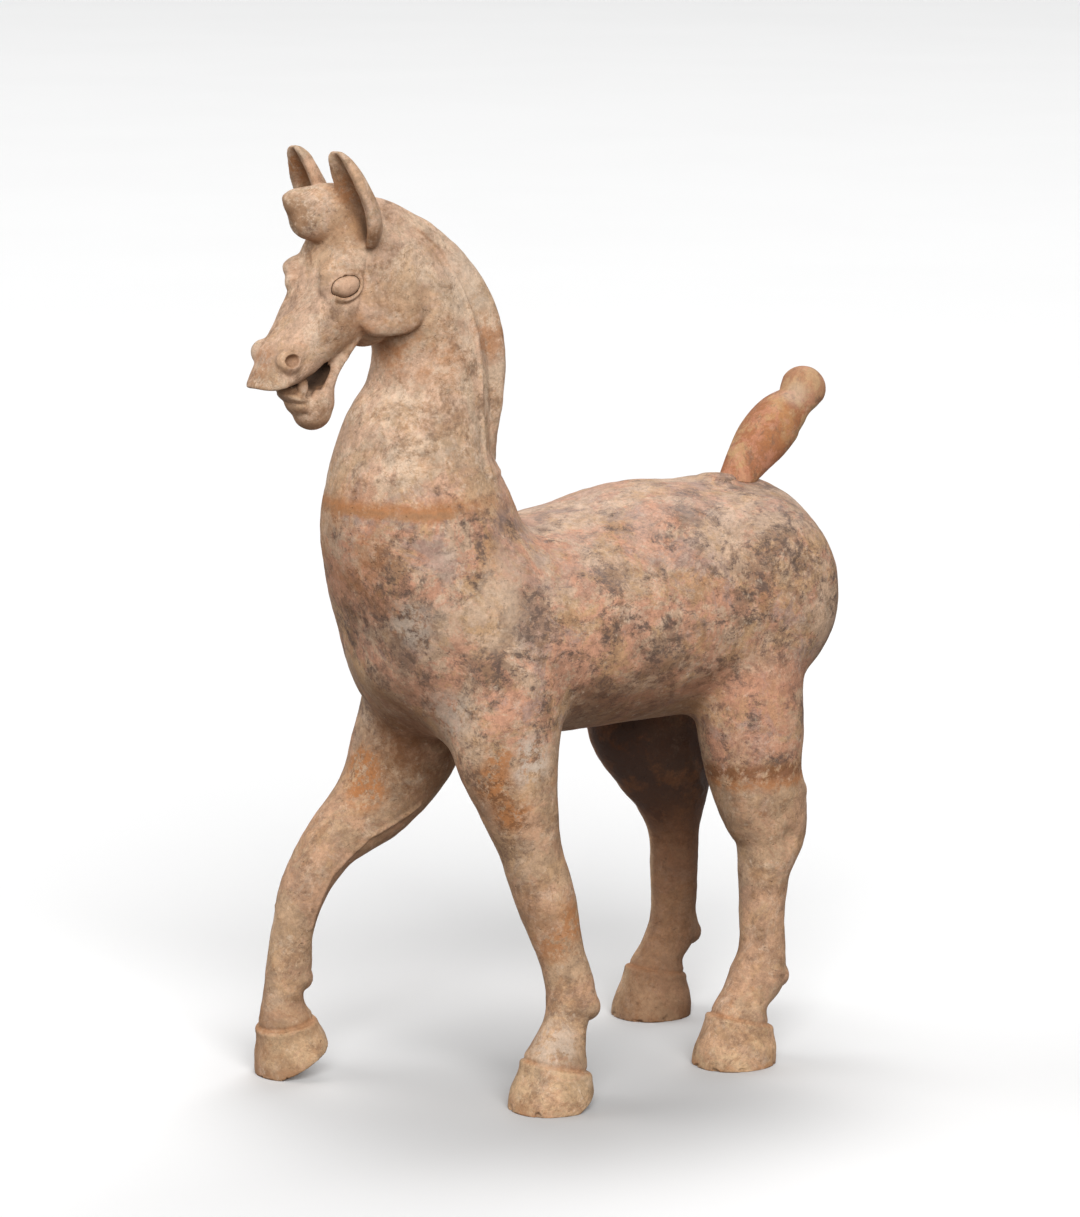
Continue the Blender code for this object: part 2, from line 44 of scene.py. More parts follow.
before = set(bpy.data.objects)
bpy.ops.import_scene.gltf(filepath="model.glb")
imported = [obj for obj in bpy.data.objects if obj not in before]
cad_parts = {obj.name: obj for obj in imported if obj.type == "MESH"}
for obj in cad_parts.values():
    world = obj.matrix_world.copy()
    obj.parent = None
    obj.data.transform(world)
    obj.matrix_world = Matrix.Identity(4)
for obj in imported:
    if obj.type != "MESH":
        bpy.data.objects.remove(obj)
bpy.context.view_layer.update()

# Lofts. Each row is (x, y, z, front, rear, half width): the place of a cross-section's centre and
# its reach to each side. On a path that runs down, "front" is towards -X; on one that runs towards
# -X it is +Z. The half width is along Y.
TRUNK = [
    (0.310, 0.0, 0.574, 0.119, 0.098, 0.120),
    (0.272, 0.0, 0.566, 0.1335, 0.130, 0.144),
    (0.212, 0.0, 0.558, 0.1410, 0.140, 0.156),
    (0.122, 0.0, 0.552, 0.149, 0.137, 0.160),
    (0.022, 0.0, 0.544, 0.138, 0.129, 0.158),
    (-0.078, 0.0, 0.542, 0.132, 0.125, 0.156),
    (-0.148, 0.0, 0.547, 0.128, 0.126, 0.144),
    (-0.188, 0.0, 0.554, 0.100, 0.100, 0.118),
]
NECK = [
    (-0.290, 0.0, 1.034, 0.030, 0.036, 0.042),
    (-0.243, 0.0, 0.997, 0.048, 0.050, 0.052),
    (-0.200, 0.0, 0.949, 0.058, 0.060, 0.056),
    (-0.176, 0.0, 0.889, 0.0635, 0.074, 0.060),
    (-0.175, 0.0, 0.834, 0.073, 0.076, 0.068),
    (-0.192, 0.0, 0.769, 0.0925, 0.092, 0.084),
    (-0.193, 0.0, 0.704, 0.108, 0.119, 0.106),
    (-0.186, 0.0, 0.634, 0.103, 0.126, 0.128),
    (-0.178, 0.0, 0.564, 0.087, 0.110, 0.138),
    (-0.168, 0.0, 0.499, 0.070, 0.100, 0.124),
]
HEAD = [
    (-0.280, 0.0, 1.046, 0.028, 0.045, 0.044),
    (-0.309, 0.0, 0.997, 0.0185, 0.080, 0.052),
    (-0.328, 0.0, 0.956, 0.0120, 0.086, 0.051),
    (-0.346, 0.0, 0.921, 0.019, 0.063, 0.043),
    (-0.363, 0.0, 0.887, 0.0295, 0.036, 0.036),
    (-0.378, 0.0, 0.866, 0.028, 0.014, 0.034),
    (-0.393, 0.0, 0.859, 0.020, 0.012, 0.031),
    (-0.4015, 0.0, 0.8565, 0.010, 0.009, 0.026),
]
JAW = [
    (-0.277, 0.0, 0.921, 0.030, 0.005, 0.037),
    (-0.300, 0.0, 0.886, 0.024, 0.002, 0.032),
    (-0.316, 0.0, 0.860, 0.018, 0.008, 0.027),
    (-0.328, 0.0, 0.839, 0.020, 0.025, 0.025),
    (-0.334, 0.0, 0.824, 0.019, 0.023, 0.022),
]
LEFT_FORELEG = [
    (-0.113, -0.080, 0.594, 0.075, 0.075, 0.060),
    (-0.131, -0.095, 0.504, 0.076, 0.080, 0.064),
    (-0.136, -0.106, 0.426, 0.066, 0.068, 0.056),
    (-0.126, -0.115, 0.366, 0.050, 0.049, 0.047),
    (-0.112, -0.122, 0.306, 0.038, 0.037, 0.037),
    (-0.096, -0.130, 0.244, 0.036, 0.035, 0.035),
    (-0.081, -0.138, 0.183, 0.029, 0.028, 0.028),
    (-0.070, -0.144, 0.126, 0.029, 0.028, 0.029),
    (-0.079, -0.148, 0.093, 0.0295, 0.024, 0.025),
    (-0.093, -0.150, 0.066, 0.032, 0.040, 0.031),
    (-0.100, -0.150, 0.050, 0.0365, 0.0455, 0.0355),
]
RIGHT_FORELEG = [
    (-0.108, 0.080, 0.574, 0.070, 0.070, 0.060),
    (-0.118, 0.095, 0.474, 0.070, 0.066, 0.060),
    (-0.140, 0.106, 0.392, 0.066, 0.074, 0.056),
    (-0.178, 0.114, 0.329, 0.049, 0.054, 0.046),
    (-0.233, 0.126, 0.276, 0.036, 0.032, 0.036),
    (-0.264, 0.134, 0.226, 0.029, 0.028, 0.030),
    (-0.276, 0.140, 0.179, 0.025, 0.025, 0.025),
    (-0.280, 0.145, 0.129, 0.027, 0.029, 0.026),
    (-0.286, 0.147, 0.097, 0.024, 0.025, 0.025),
    (-0.284, 0.149, 0.074, 0.030, 0.031, 0.030),
    (-0.280, 0.150, 0.060, 0.034, 0.036, 0.034),
]
LEFT_HIND_LEG = [
    (0.230, -0.085, 0.554, 0.085, 0.095, 0.065),
    (0.220, -0.100, 0.464, 0.068, 0.073, 0.060),
    (0.218, -0.108, 0.399, 0.064, 0.072, 0.057),
    (0.222, -0.112, 0.344, 0.055, 0.064, 0.050),
    (0.228, -0.114, 0.308, 0.047, 0.071, 0.042),
    (0.239, -0.116, 0.276, 0.040, 0.057, 0.036),
    (0.236, -0.117, 0.234, 0.033, 0.034, 0.031),
    (0.232, -0.118, 0.179, 0.028, 0.028, 0.028),
    (0.230, -0.120, 0.134, 0.028, 0.030, 0.028),
    (0.223, -0.120, 0.099, 0.036, 0.034, 0.033),
    (0.207, -0.120, 0.075, 0.032, 0.026, 0.029),
    (0.198, -0.120, 0.056, 0.0355, 0.038, 0.036),
    (0.194, -0.120, 0.044, 0.038, 0.043, 0.038),
]
RIGHT_HIND_LEG = [
    (0.262, 0.085, 0.554, 0.090, 0.090, 0.065),
    (0.244, 0.100, 0.464, 0.104, 0.082, 0.060),
    (0.237, 0.106, 0.384, 0.099, 0.082, 0.056),
    (0.251, 0.110, 0.324, 0.070, 0.072, 0.050),
    (0.264, 0.114, 0.282, 0.050, 0.055, 0.041),
    (0.272, 0.118, 0.234, 0.032, 0.036, 0.032),
    (0.273, 0.119, 0.179, 0.028, 0.034, 0.028),
    (0.274, 0.120, 0.134, 0.027, 0.031, 0.028),
    (0.271, 0.120, 0.099, 0.030, 0.031, 0.031),
    (0.257, 0.120, 0.075, 0.029, 0.026, 0.029),
    (0.250, 0.120, 0.057, 0.0345, 0.039, 0.036),
    (0.246, 0.120, 0.045, 0.038, 0.042, 0.038),
]
MANE = [
    (-0.300, 0.0, 1.046, 0.020, 0.024, 0.018),
    (-0.239, 0.0, 1.031, 0.040, 0.030, 0.028),
    (-0.190, 0.0, 0.999, 0.045, 0.0325, 0.034),
    (-0.155, 0.0, 0.967, 0.045, 0.0335, 0.038),
    (-0.118, 0.0, 0.921, 0.045, 0.0260, 0.042),
    (-0.105, 0.0, 0.877, 0.045, 0.0205, 0.044),
    (-0.108, 0.0, 0.824, 0.045, 0.0185, 0.046),
    (-0.114, 0.0, 0.780, 0.040, 0.0175, 0.043),
    (-0.110, 0.0, 0.749, 0.030, 0.0205, 0.030),
]
FORELOCK = [
    (-0.262, 0.0, 1.044, 0.022, 0.045, 0.030),
    (-0.290, 0.0, 1.052, 0.030, 0.046, 0.034),
    (-0.316, 0.0, 1.060, 0.024, 0.044, 0.027),
    (-0.340, 0.0, 1.066, 0.014, 0.041, 0.018),
    (-0.356, 0.0, 1.068, 0.009, 0.030, 0.012),
    (-0.362, 0.0, 1.067, 0.007, 0.016, 0.009),
]
TAIL = [
    (0.261, 0.0, 0.662, 0.016, 0.016, 0.017),
    (0.274, 0.0, 0.684, 0.017, 0.020, 0.020),
    (0.294, 0.0, 0.710, 0.024, 0.026, 0.026),
    (0.318, 0.0, 0.738, 0.033, 0.031, 0.031),
    (0.343, 0.0, 0.764, 0.034, 0.027, 0.029),
    (0.3575, 0.0, 0.7725, 0.0275, 0.0245, 0.0250),
    (0.3665, 0.0, 0.7790, 0.0228, 0.0225, 0.0225),
    (0.3735, 0.0, 0.7865, 0.0250, 0.0250, 0.0250),
    (0.3800, 0.0, 0.7947, 0.0272, 0.0272, 0.0272),
]
# Each row is (x, y, z, radius, half opening in degrees) of the ear's rolled leaf, from its tip down.
EAR = [
    (-0.3280, 0.045, 1.1235, 0.0085, 80.0),
    (-0.3255, 0.0455, 1.118, 0.0135, 92.0),
    (-0.319, 0.0465, 1.104, 0.0185, 96.0),
    (-0.308, 0.048, 1.078, 0.0235, 100.0),
    (-0.297, 0.047, 1.050, 0.0250, 104.0),
    (-0.290, 0.045, 1.028, 0.0215, 112.0),
    (-0.286, 0.043, 1.012, 0.0125, 120.0),
]
# The point of the tuft behind each fetlock.
FETLOCKS = {
    "left_fore": (-0.036, -0.146, 0.105),
    "right_fore": (-0.249, 0.146, 0.109),
    "left_hind": (0.265, -0.120, 0.092),
    "right_hind": (0.313, 0.120, 0.090),
}
# The open mouth from the side, as (x, z) corners.
MOUTH = [
    (-0.321, 0.885),
    (-0.333, 0.882),
    (-0.345, 0.8715),
    (-0.363, 0.861),
    (-0.395, 0.855),
    (-0.440, 0.854),
    (-0.440, 0.840),
    (-0.352, 0.8440),
    (-0.337, 0.850),
    (-0.3340, 0.865),
    (-0.326, 0.878),
]
# The narrower hollow behind it.
GULLET = [
    (-0.3220, 0.887),
    (-0.3400, 0.876),
    (-0.3400, 0.853),
    (-0.3270, 0.8565),
    (-0.3215, 0.8640),
    (-0.3125, 0.8810),
]
# From the coronet down: height above the sole's centre, reach to toe, to heel, and half width.
HOOF = [
    (0.066, 0.031, 0.036, 0.031),
    (0.052, 0.037, 0.043, 0.036),
    (0.039, 0.041, 0.047, 0.039),
    (0.020, 0.049, 0.050, 0.046),
    (0.002, 0.053, 0.049, 0.048),
    (-0.014, 0.052, 0.047, 0.046),
]
# Each hoof's coronet edge: x and y of the hoof's middle, the edge's height there, and its slope
# down to the heel in degrees.
CORONETS = {
    "left_fore": (-0.1005, -0.150, 0.050, 15.0),
    "right_fore": (-0.262, 0.150, 0.067, -10.0),
    "left_hind": (0.191, -0.120, 0.055, 15.0),
    "right_hind": (0.244, 0.120, 0.058, 11.0),
}
# Lines drawn on the clay with a tool: height (a groove's is less than 0), width and points.
# Those of both sides are given on the right side, y > 0.
TOOLED_BOTH_SIDES = (
    (
        -0.0016,
        0.0030,
        (
            (-0.287, 0.050, 0.996),
            (-0.292, 0.051, 0.965),
            (-0.297, 0.049, 0.942),
            (-0.293, 0.043, 0.921),
        ),
    ),
    (-0.0022, 0.0022, ((-0.333, 0.048, 0.963), (-0.345, 0.044, 0.947))),
    (-0.0016, 0.0020, ((-0.340, 0.014, 0.848), (-0.357, 0.015, 0.836))),
    (-0.0014, 0.0020, ((-0.333, 0.021, 0.842), (-0.349, 0.014, 0.823))),
)
TOOLED = (
    (
        0.0022,
        0.0032,
        (
            (-0.139, 0.070, 0.326),
            (-0.173, 0.073, 0.309),
            (-0.204, 0.080, 0.293),
            (-0.225, 0.090, 0.272),
            (-0.247, 0.098, 0.249),
            (-0.258, 0.107, 0.219),
            (-0.266, 0.116, 0.185),
        ),
    ),
    (0.0030, 0.0060, ((0.247, 0.056, 0.352), (0.258, 0.060, 0.327), (0.284, 0.075, 0.289))),
    (-0.0045, 0.0110, ((0.248, -0.151, 0.279), (0.251, -0.151, 0.276))),
)
# The foot of the mane on the side of the neck, as (z, x).
MANE_FOOT = (
    (0.741, -0.140),
    (0.782, -0.137),
    (0.828, -0.140),
    (0.868, -0.137),
    (0.908, -0.140),
    (0.955, -0.155),
    (1.002, -0.177),
    (1.035, -0.215),
)
# An eyeball on the right side: its centre, its half sizes along, out and up, and how many degrees its
# length is tilted down towards the nose. LID_OUT is how far out of its centre the lids' line lies.
EYE = (-0.3150, 0.0475, 0.9705)
EYE_SIZE = (0.0182, 0.0122, 0.0124)
EYE_TILT = 16.0
LID_OUT = 0.004
# The ridge of the lids and the groove round them: height, distance from the eyeball and width.
LIDS = ((0.0020, 0.0028, 0.0026), (-0.0016, 0.0078, 0.0024))

BODY_GRAIN = 0.0042  # step of the broad body's mesh
PRESSED_GRAIN = 0.0022  # the same, once the smaller parts are pressed on
SOFT_REACH = 0.050  # how far a joint between two broad masses is smoothed
SOFT_PASSES = 140
PRESS_REACH = 0.007  # how far the foot of a pressed-on part is smoothed
PRESS_PASSES = 10
CRISP_REACH = 0.004  # how far the foot of a crisp part is smoothed
CRISP_PASSES = 4
EAR_WIDENED = 1.15  # how much wider than a round roll the ear's leaf is
EAR_HOLLOW = 0.0015  # least radius of the ear's inner side
CORONET_LIP = 0.0012  # height of the swelling below the coronet's edge
CORONET_GROOVE = 0.0018  # depth of the groove at the edge
MANE_ROLL = 0.0012  # height of the thin roll along the mane's edge
LUMPS = ((28.0, 1.0), (75.0, 5 / 11))  # unevenness of the clay: how fine, and its share of the height
CHIPS_PER_HOOF = 6
CHIP_SEED = 11


def flow(rows, step):
    """Even points on a smooth curve through the rows, in all their columns at once."""
    rows = np.array(rows, dtype=float)
    spans = np.linalg.norm(np.diff(rows[:, :3], axis=0), axis=1)
    along = np.concatenate([[0.0], np.cumsum(spans)])
    slopes = np.gradient(rows, along, axis=0)
    places = np.linspace(0.0, along[-1], max(3, round(along[-1] / step) + 1))
    which = np.clip(np.searchsorted(along, places, side="right") - 1, 0, len(spans) - 1)
    span = spans[which][:, None]
    t = (places[:, None] - along[which][:, None]) / span
    start = rows[which] * (2 * t**3 - 3 * t**2 + 1) + slopes[which] * span * (t**3 - 2 * t**2 + t)
    end = rows[which + 1] * (3 * t**2 - 2 * t**3) + slopes[which + 1] * span * (t**3 - t**2)
    return start + end


def mesh_object(name, bm):
    """A new object of that name, holding the mesh."""
    mesh = bpy.data.meshes.new(name)
    bm.to_mesh(mesh)
    bm.free()
    thing = bpy.data.objects.new(name, mesh)
    bpy.context.scene.collection.objects.link(thing)
    return thing


def loft(name, rows, square=2.0, dome=0.6, step=0.011, sides=40, grow=0.0, rounds=4):
    """A closed body swept along the rows, with domed ends.

    A square of 2 gives oval sections, and more fills their corners. The dome is the ends' depth in
    radii, made of so many rounds, and grow is added to every radius.
    """
    points = flow(rows, step)
    points[:, 3:] += grow
    centres = [Vector(row[:3]) for row in points]
    tangents = [Vector(row) for row in np.gradient(points[:, :3], axis=0)]
    turns = np.linspace(0.0, 2 * math.pi, sides, endpoint=False)
    bm = bmesh.new()

    def ring(place, shrink, shift):
        along = tangents[place].normalized()
        side = (Vector((0, 1, 0)) - along * along.y).normalized()
        front = side.cross(along)
        reach_front, reach_rear, half = points[place][3:] * shrink
        verts = []
        for turn in turns:
            c, s = math.cos(turn), math.sin(turn)
            c = math.copysign(abs(c) ** (2 / square), c)
            s = math.copysign(abs(s) ** (2 / square), s)
            offset = front * c * (reach_front if c > 0 else reach_rear) + side * s * half
            verts.append(bm.verts.new(centres[place] + offset + along * shift))
        return verts

    last = len(points) - 1
    steepest = math.radians(90.0 - 40.0 / rounds)
    caps = [steepest * place / rounds for place in range(rounds, 0, -1)]
    depth = [dome * points[end][3:].mean() for end in (0, last)]
    rings = [ring(0, math.cos(a), -depth[0] * math.sin(a)) for a in caps]
    rings += [ring(place, 1.0, 0.0) for place in range(len(points))]
    rings += [ring(last, math.cos(a), depth[1] * math.sin(a)) for a in reversed(caps)]
    for lower, upper in zip(rings, rings[1:]):
        for i in range(sides):
            j = (i + 1) % sides
            bm.faces.new((lower[i], lower[j], upper[j], upper[i]))
    bm.faces.new(rings[0][::-1])
    bm.faces.new(rings[-1])
    bmesh.ops.recalc_face_normals(bm, faces=bm.faces)
    return mesh_object(name, bm)


def ball(name, centre, radii, turn=(0.0, 0.0, 0.0), square=2.0, subdivisions=5):
    """An ellipsoid, turned by degrees about X, Y and Z. A square above 2 makes it a pillow."""
    spin = Euler([math.radians(angle) for angle in turn]).to_matrix().to_4x4()
    bm = bmesh.new()
    bmesh.ops.create_icosphere(bm, subdivisions=subdivisions, radius=1.0)
    if square != 2.0:
        for vert in bm.verts:
            vert.co *= sum(abs(c) ** square for c in vert.co) ** (-1 / square)
    place = Matrix.Translation(centre) @ spin @ Matrix.Diagonal((*radii, 1.0))
    bmesh.ops.transform(bm, matrix=place, verts=bm.verts)
    return mesh_object(name, bm)


def both_sides(name, centre, radii, turn=(0.0, 0.0, 0.0), square=2.0):
    """The same ball on the right side and mirrored on the left."""
    x, y, z = centre
    tip, lean, heading = turn
    return [
        ball(name + "_right", centre, radii, turn, square),
        ball(name + "_left", (x, -y, z), radii, (-tip, lean, -heading), square),
    ]


def slab(name, low, high):
    """A box between two opposite corners."""
    bm = bmesh.new()
    size = Vector(high) - Vector(low)
    place = Matrix.Translation((Vector(high) + Vector(low)) / 2) @ Matrix.Diagonal((*size, 1.0))
    bmesh.ops.create_cube(bm, size=1.0, matrix=place)
    return mesh_object(name, bm)


def prism(name, outline, half_width):
    """A flat outline of (x, z) corners, extruded to both sides of the middle plane."""
    bm = bmesh.new()
    face = bm.faces.new([bm.verts.new((x, -half_width, z)) for x, z in outline])
    made = bmesh.ops.extrude_face_region(bm, geom=[face])
    corners = [item for item in made["geom"] if isinstance(item, bmesh.types.BMVert)]
    bmesh.ops.translate(bm, verts=corners, vec=(0.0, 2 * half_width, 0.0))
    bmesh.ops.recalc_face_normals(bm, faces=bm.faces)
    return mesh_object(name, bm)


def bake(thing):
    """Applies the modifiers, so that the mesh is what they made."""
    graph = bpy.context.evaluated_depsgraph_get()
    made = bpy.data.meshes.new_from_object(thing.evaluated_get(graph))
    thing.modifiers.clear()
    thing.data = made


def remove(things):
    """Takes the things out of the file."""
    for thing in things:
        bpy.data.objects.remove(thing, do_unlink=True)


def cut(thing, *cutters, way="DIFFERENCE"):
    """Takes the cutters, which don't touch each other, out of the thing, or with UNION adds them to it."""
    cutter = fused("cutter", cutters)
    boolean = thing.modifiers.new("cut", "BOOLEAN")
    boolean.operation = way
    boolean.solver = "EXACT"
    boolean.object = cutter
    bake(thing)
    remove([cutter])


def fused(name, masses):
    """All the masses in one mesh, as they are."""
    bm = bmesh.new()
    for mass in masses:
        bm.from_mesh(mass.data)
    remove(masses)
    return mesh_object(name, bm)


def remesh(name, masses, grain):
    """One skin around all the masses, on an even grain."""
    body = fused(name, masses)
    modifier = body.modifiers.new("grain", "REMESH")
    modifier.mode = "VOXEL"
    modifier.voxel_size = grain
    bake(body)
    return body


def joints_between(points, trees, reach):
    """How near each point is to where two of the masses meet: 1 on the joint, 0 beyond the reach."""
    nearest = np.full((len(points), 2), reach)
    for tree, low, high in trees:
        close = np.all(points > low - reach, axis=1) & np.all(points < high + reach, axis=1)
        for i in np.flatnonzero(close):
            gap = tree.find_nearest(Vector(points[i]), reach)[3]
            if gap is None:
                continue
            if gap < nearest[i, 0]:
                nearest[i] = gap, nearest[i, 0]
            elif gap < nearest[i, 1]:
                nearest[i, 1] = gap
    nearness = 1.0 - nearest[:, 1] / reach
    return nearness * nearness * (3.0 - 2.0 * nearness)


def surfaces_of(masses):
    """A search tree and the bounds of each mass."""
    graph = bpy.context.evaluated_depsgraph_get()
    found = []
    for mass in masses:
        corners = np.array([corner[:] for corner in mass.bound_box])
        found.append((BVHTree.FromObject(mass, graph), corners.min(0), corners.max(0)))
    return found


def coordinates(mesh):
    """Where the mesh's points are, one row for each."""
    points = np.empty(len(mesh.vertices) * 3, dtype=np.float32)
    mesh.vertices.foreach_get("co", points)
    return points.reshape(-1, 3)


def smooth(thing, passes, weights=None):
    """Rubs the surface down, where weights are given in proportion to them."""
    modifier = thing.modifiers.new("smooth", "SMOOTH")
    modifier.factor = 0.5
    modifier.iterations = passes
    if weights is not None:
        group = thing.vertex_groups.new(name="rubbed")
        for i in np.flatnonzero(weights > 0.01):
            group.add([int(i)], float(weights[i]), "REPLACE")
        modifier.vertex_group = "rubbed"
    bake(thing)
    thing.vertex_groups.clear()


def subdivide(thing):
    """Splits each face into four and rounds the form."""
    modifier = thing.modifiers.new("finer", "SUBSURF")
    modifier.levels = modifier.render_levels = 1
    bake(thing)


def thin(thing, triangles):
    """Fewer and larger facets, small ones staying where the form bends most."""
    decimate = thing.modifiers.new("thin", "DECIMATE")
    decimate.ratio = triangles / (2 * len(thing.data.polygons))
    bake(thing)


def hoof(foot, sole=0.0, tip=0.0, heel=0.0, pared=30.0, short=0.0, long=0.0):
    """A flared hoof with its sole's centre at the given height, tipped by degrees onto its toe.

    Behind the centre by heel, the sole is pared away upwards at an angle of pared degrees. The
    heel is drawn in by the short length, and the toe's foot drawn out by the long one.
    """
    x, y, coronet, slope = CORONETS[foot]
    c, s = math.cos(math.radians(tip)), math.sin(math.radians(tip))
    top = HOOF[0][0]
    rows = [
        (x - s * up, y, sole + c * up, toe + long * (1.0 - up / top), back - short, half)
        for up, toe, back, half in HOOF
    ]
    made = loft(foot + "_hoof", rows, square=2.15, dome=0.1, step=0.004, sides=64)
    reach = 0.08  # more than any hoof's
    below = slab(foot + "_paring", (0.0, -reach, -reach), (2 * reach, reach, 0.0))
    below.data.transform(Matrix.Rotation(math.radians(-pared), 4, "Y"))
    below.data.transform(Matrix.Translation((x + heel, y, 0.0)))
    above = slab(foot + "_top", (-1.5 * reach, -reach, 0.0), (1.5 * reach, reach, reach))
    above.data.transform(Matrix.Rotation(math.radians(slope), 4, "Y"))
    above.data.transform(Matrix.Translation((x, y, coronet)))
    cut(made, below, above)
    return made


def ear(name, side, lean=0.0, size=1.0, thickness=0.0105, turned=4.0):
    """A leaf of clay rolled into an open trough, whose mouth faces forward and a little outward."""
    rows = [(x + lean, side * y, z, radius * size, opening) for x, y, z, radius, opening in EAR]
    rows = flow(rows, 0.003)
    heading = math.radians(turned)
    back = Vector((math.cos(heading), -side * math.sin(heading), 0.0))
    out = Vector((math.sin(heading), side * math.cos(heading), 0.0))
    bm = bmesh.new()
    skins = []
    across = 25
    for inward in (0.0, thickness):
        grid = []
        for x, y, z, radius, opening in rows.tolist():
            radius = max(radius - inward, EAR_HOLLOW)
            line = []
            for u in np.linspace(-1.0, 1.0, across).tolist():
                angle = math.radians(opening) * u
                bow = back * math.cos(angle) + out * math.sin(angle) * EAR_WIDENED
                line.append(bm.verts.new(Vector((x, y, z)) + radius * bow))
            grid.append(line)
        skins.append(grid)
    outer, inner = skins
    last = len(rows) - 1
    for i in range(last):
        for j in range(across - 1):
            bm.faces.new((outer[i][j], outer[i][j + 1], outer[i + 1][j + 1], outer[i + 1][j]))
            bm.faces.new((inner[i][j], inner[i + 1][j], inner[i + 1][j + 1], inner[i][j + 1]))
        for j in (0, across - 1):
            bm.faces.new((outer[i][j], outer[i + 1][j], inner[i + 1][j], inner[i][j]))
    for i in (0, last):
        for j in range(across - 1):
            bm.faces.new((outer[i][j], inner[i][j], inner[i][j + 1], outer[i][j + 1]))
    bmesh.ops.recalc_face_normals(bm, faces=bm.faces)
    made = mesh_object(name, bm)
    subdivide(made)
    return made


def broad_body():
    """Body, neck, skull and legs: what the hand smooths together."""
    masses = [
        loft("trunk", TRUNK, dome=0.7, sides=120),
        loft("neck", NECK, sides=120),
        loft("head", HEAD, square=2.5, step=0.006, sides=96),
        loft("left_foreleg", LEFT_FORELEG, step=0.008, sides=72),
        loft("right_foreleg", RIGHT_FORELEG, step=0.008, sides=72),
        loft("left_hind_leg", LEFT_HIND_LEG, step=0.008, sides=72),
        loft("right_hind_leg", RIGHT_HIND_LEG, step=0.008, sides=72),
    ]
    masses += both_sides("haunch", (0.243, 0.072, 0.562), (0.124, 0.085, 0.124))
    masses += both_sides("shoulder", (-0.140, 0.056, 0.554), (0.104, 0.090, 0.140))
    surfaces = surfaces_of(masses)
    body = remesh("body", masses, BODY_GRAIN)
    smooth(body, SOFT_PASSES, joints_between(coordinates(body.data), surfaces, SOFT_REACH))
    subdivide(body)
    return body


def fetlock(name, x, y, z):
    """A tuft that flares down the back of the leg to a point, cut square beneath."""
    rows = [
        (x - 0.040, y, z + 0.100, 0.006, 0.006, 0.010),
        (x - 0.034, y, z + 0.070, 0.010, 0.011, 0.018),
        (x - 0.029, y, z + 0.042, 0.016, 0.017, 0.024),
        (x - 0.024, y, z + 0.018, 0.020, 0.019, 0.026),
        (x - 0.021, y, z + 0.004, 0.021, 0.0205, 0.024),
        (x - 0.023, y, z - 0.004, 0.018, 0.014, 0.016),
    ]
    return loft(name, rows, dome=0.15, step=0.003, sides=32)


def pressed_parts():
    """Parts pressed onto the body, whose feet are rubbed in."""
    parts = [
        loft("mane", MANE, square=2.5, dome=0.3, sides=72),
        loft("forelock", FORELOCK, square=2.3, dome=0.4, step=0.006),
        loft("jaw", JAW, step=0.006),
        ball("throat", (-0.262, 0.0, 0.923), (0.034, 0.040, 0.030)),
        ball("chin", (-0.3310, 0.0, 0.8240), (0.0235, 0.021, 0.022)),
        ball("under_lip", (-0.3475, 0.0, 0.832), (0.020, 0.020, 0.013), (0, 40, 0)),
        ball("tail_clay", (0.243, -0.007, 0.6965), (0.022, 0.026, 0.0062), (0, 0, 10)),
    ]
    parts += both_sides("cheek", (-0.254, 0.0430, 0.955), (0.046, 0.0122, 0.046), (6, 0, 5), square=3.0)
    tilt = (0, -EYE_TILT, 0)
    parts += [
        ball("right_brow", (-0.3167, 0.0385, 0.9890), (0.0255, 0.0125, 0.0110), tilt, square=3.0),
        ball("left_brow", (-0.3150, -0.0340, 0.9890), (0.0270, 0.0125, 0.0100), tilt),
        *both_sides("orbit", (-0.3110, 0.0360, 0.9725), (0.0310, 0.0160, 0.0220), tilt),
        ball("left_nostril", (-0.3790, -0.029, 0.8870), (0.0155, 0.0125, 0.0160)),
        ball("right_nostril", (-0.3770, 0.029, 0.8915), (0.0155, 0.0125, 0.0160)),
        ear("right_ear", 1, lean=0.0005, size=1.07),
        ear("left_ear", -1),
    ]
    return parts


def crisp_parts():
    """Hooves, fetlock tufts, tongue, lip and teeth, whose edges stay crisp."""
    parts = [
        hoof("left_fore", heel=0.006, pared=24.0, short=0.002),
        hoof("right_fore", sole=0.016, tip=20.0, heel=-0.043, short=0.014, long=0.004),
        hoof("left_hind", heel=0.036),
        hoof("right_hind", heel=0.036, short=0.003),
        ball("tongue", (-0.357, 0.0, 0.8505), (0.022, 0.013, 0.0085), (0, 10, 0)),
        ball("lower_lip", (-0.3540, 0.0, 0.840), (0.022, 0.021, 0.0075), (0, 24, 0)),
    ]
    for name, place in FETLOCKS.items():
        parts.append(fetlock(name + "_fetlock", *place))
    parts += both_sides("tooth", (-0.353, 0.015, 0.855), (0.007, 0.005, 0.011), square=2.6)
    return parts


def nearness(points, path, width):
    """1 for a point on the path, fading to 0 over the width."""
    path = np.array(path)
    gap = np.full(len(points), 1.0)
    for start, end in zip(path, path[1:]):
        run = end - start
        along = np.clip((points - start) @ run / (run @ run), 0.0, 1.0)
        gap = np.minimum(gap, np.linalg.norm(points - start - along[:, None] * run, axis=1))
    return np.exp(-((gap / width) ** 2))


def step_up(value, width):
    """0 below zero, rising smoothly to 1 at the width."""
    t = np.clip(value / width, 0.0, 1.0)
    return t * t * (3.0 - 2.0 * t)


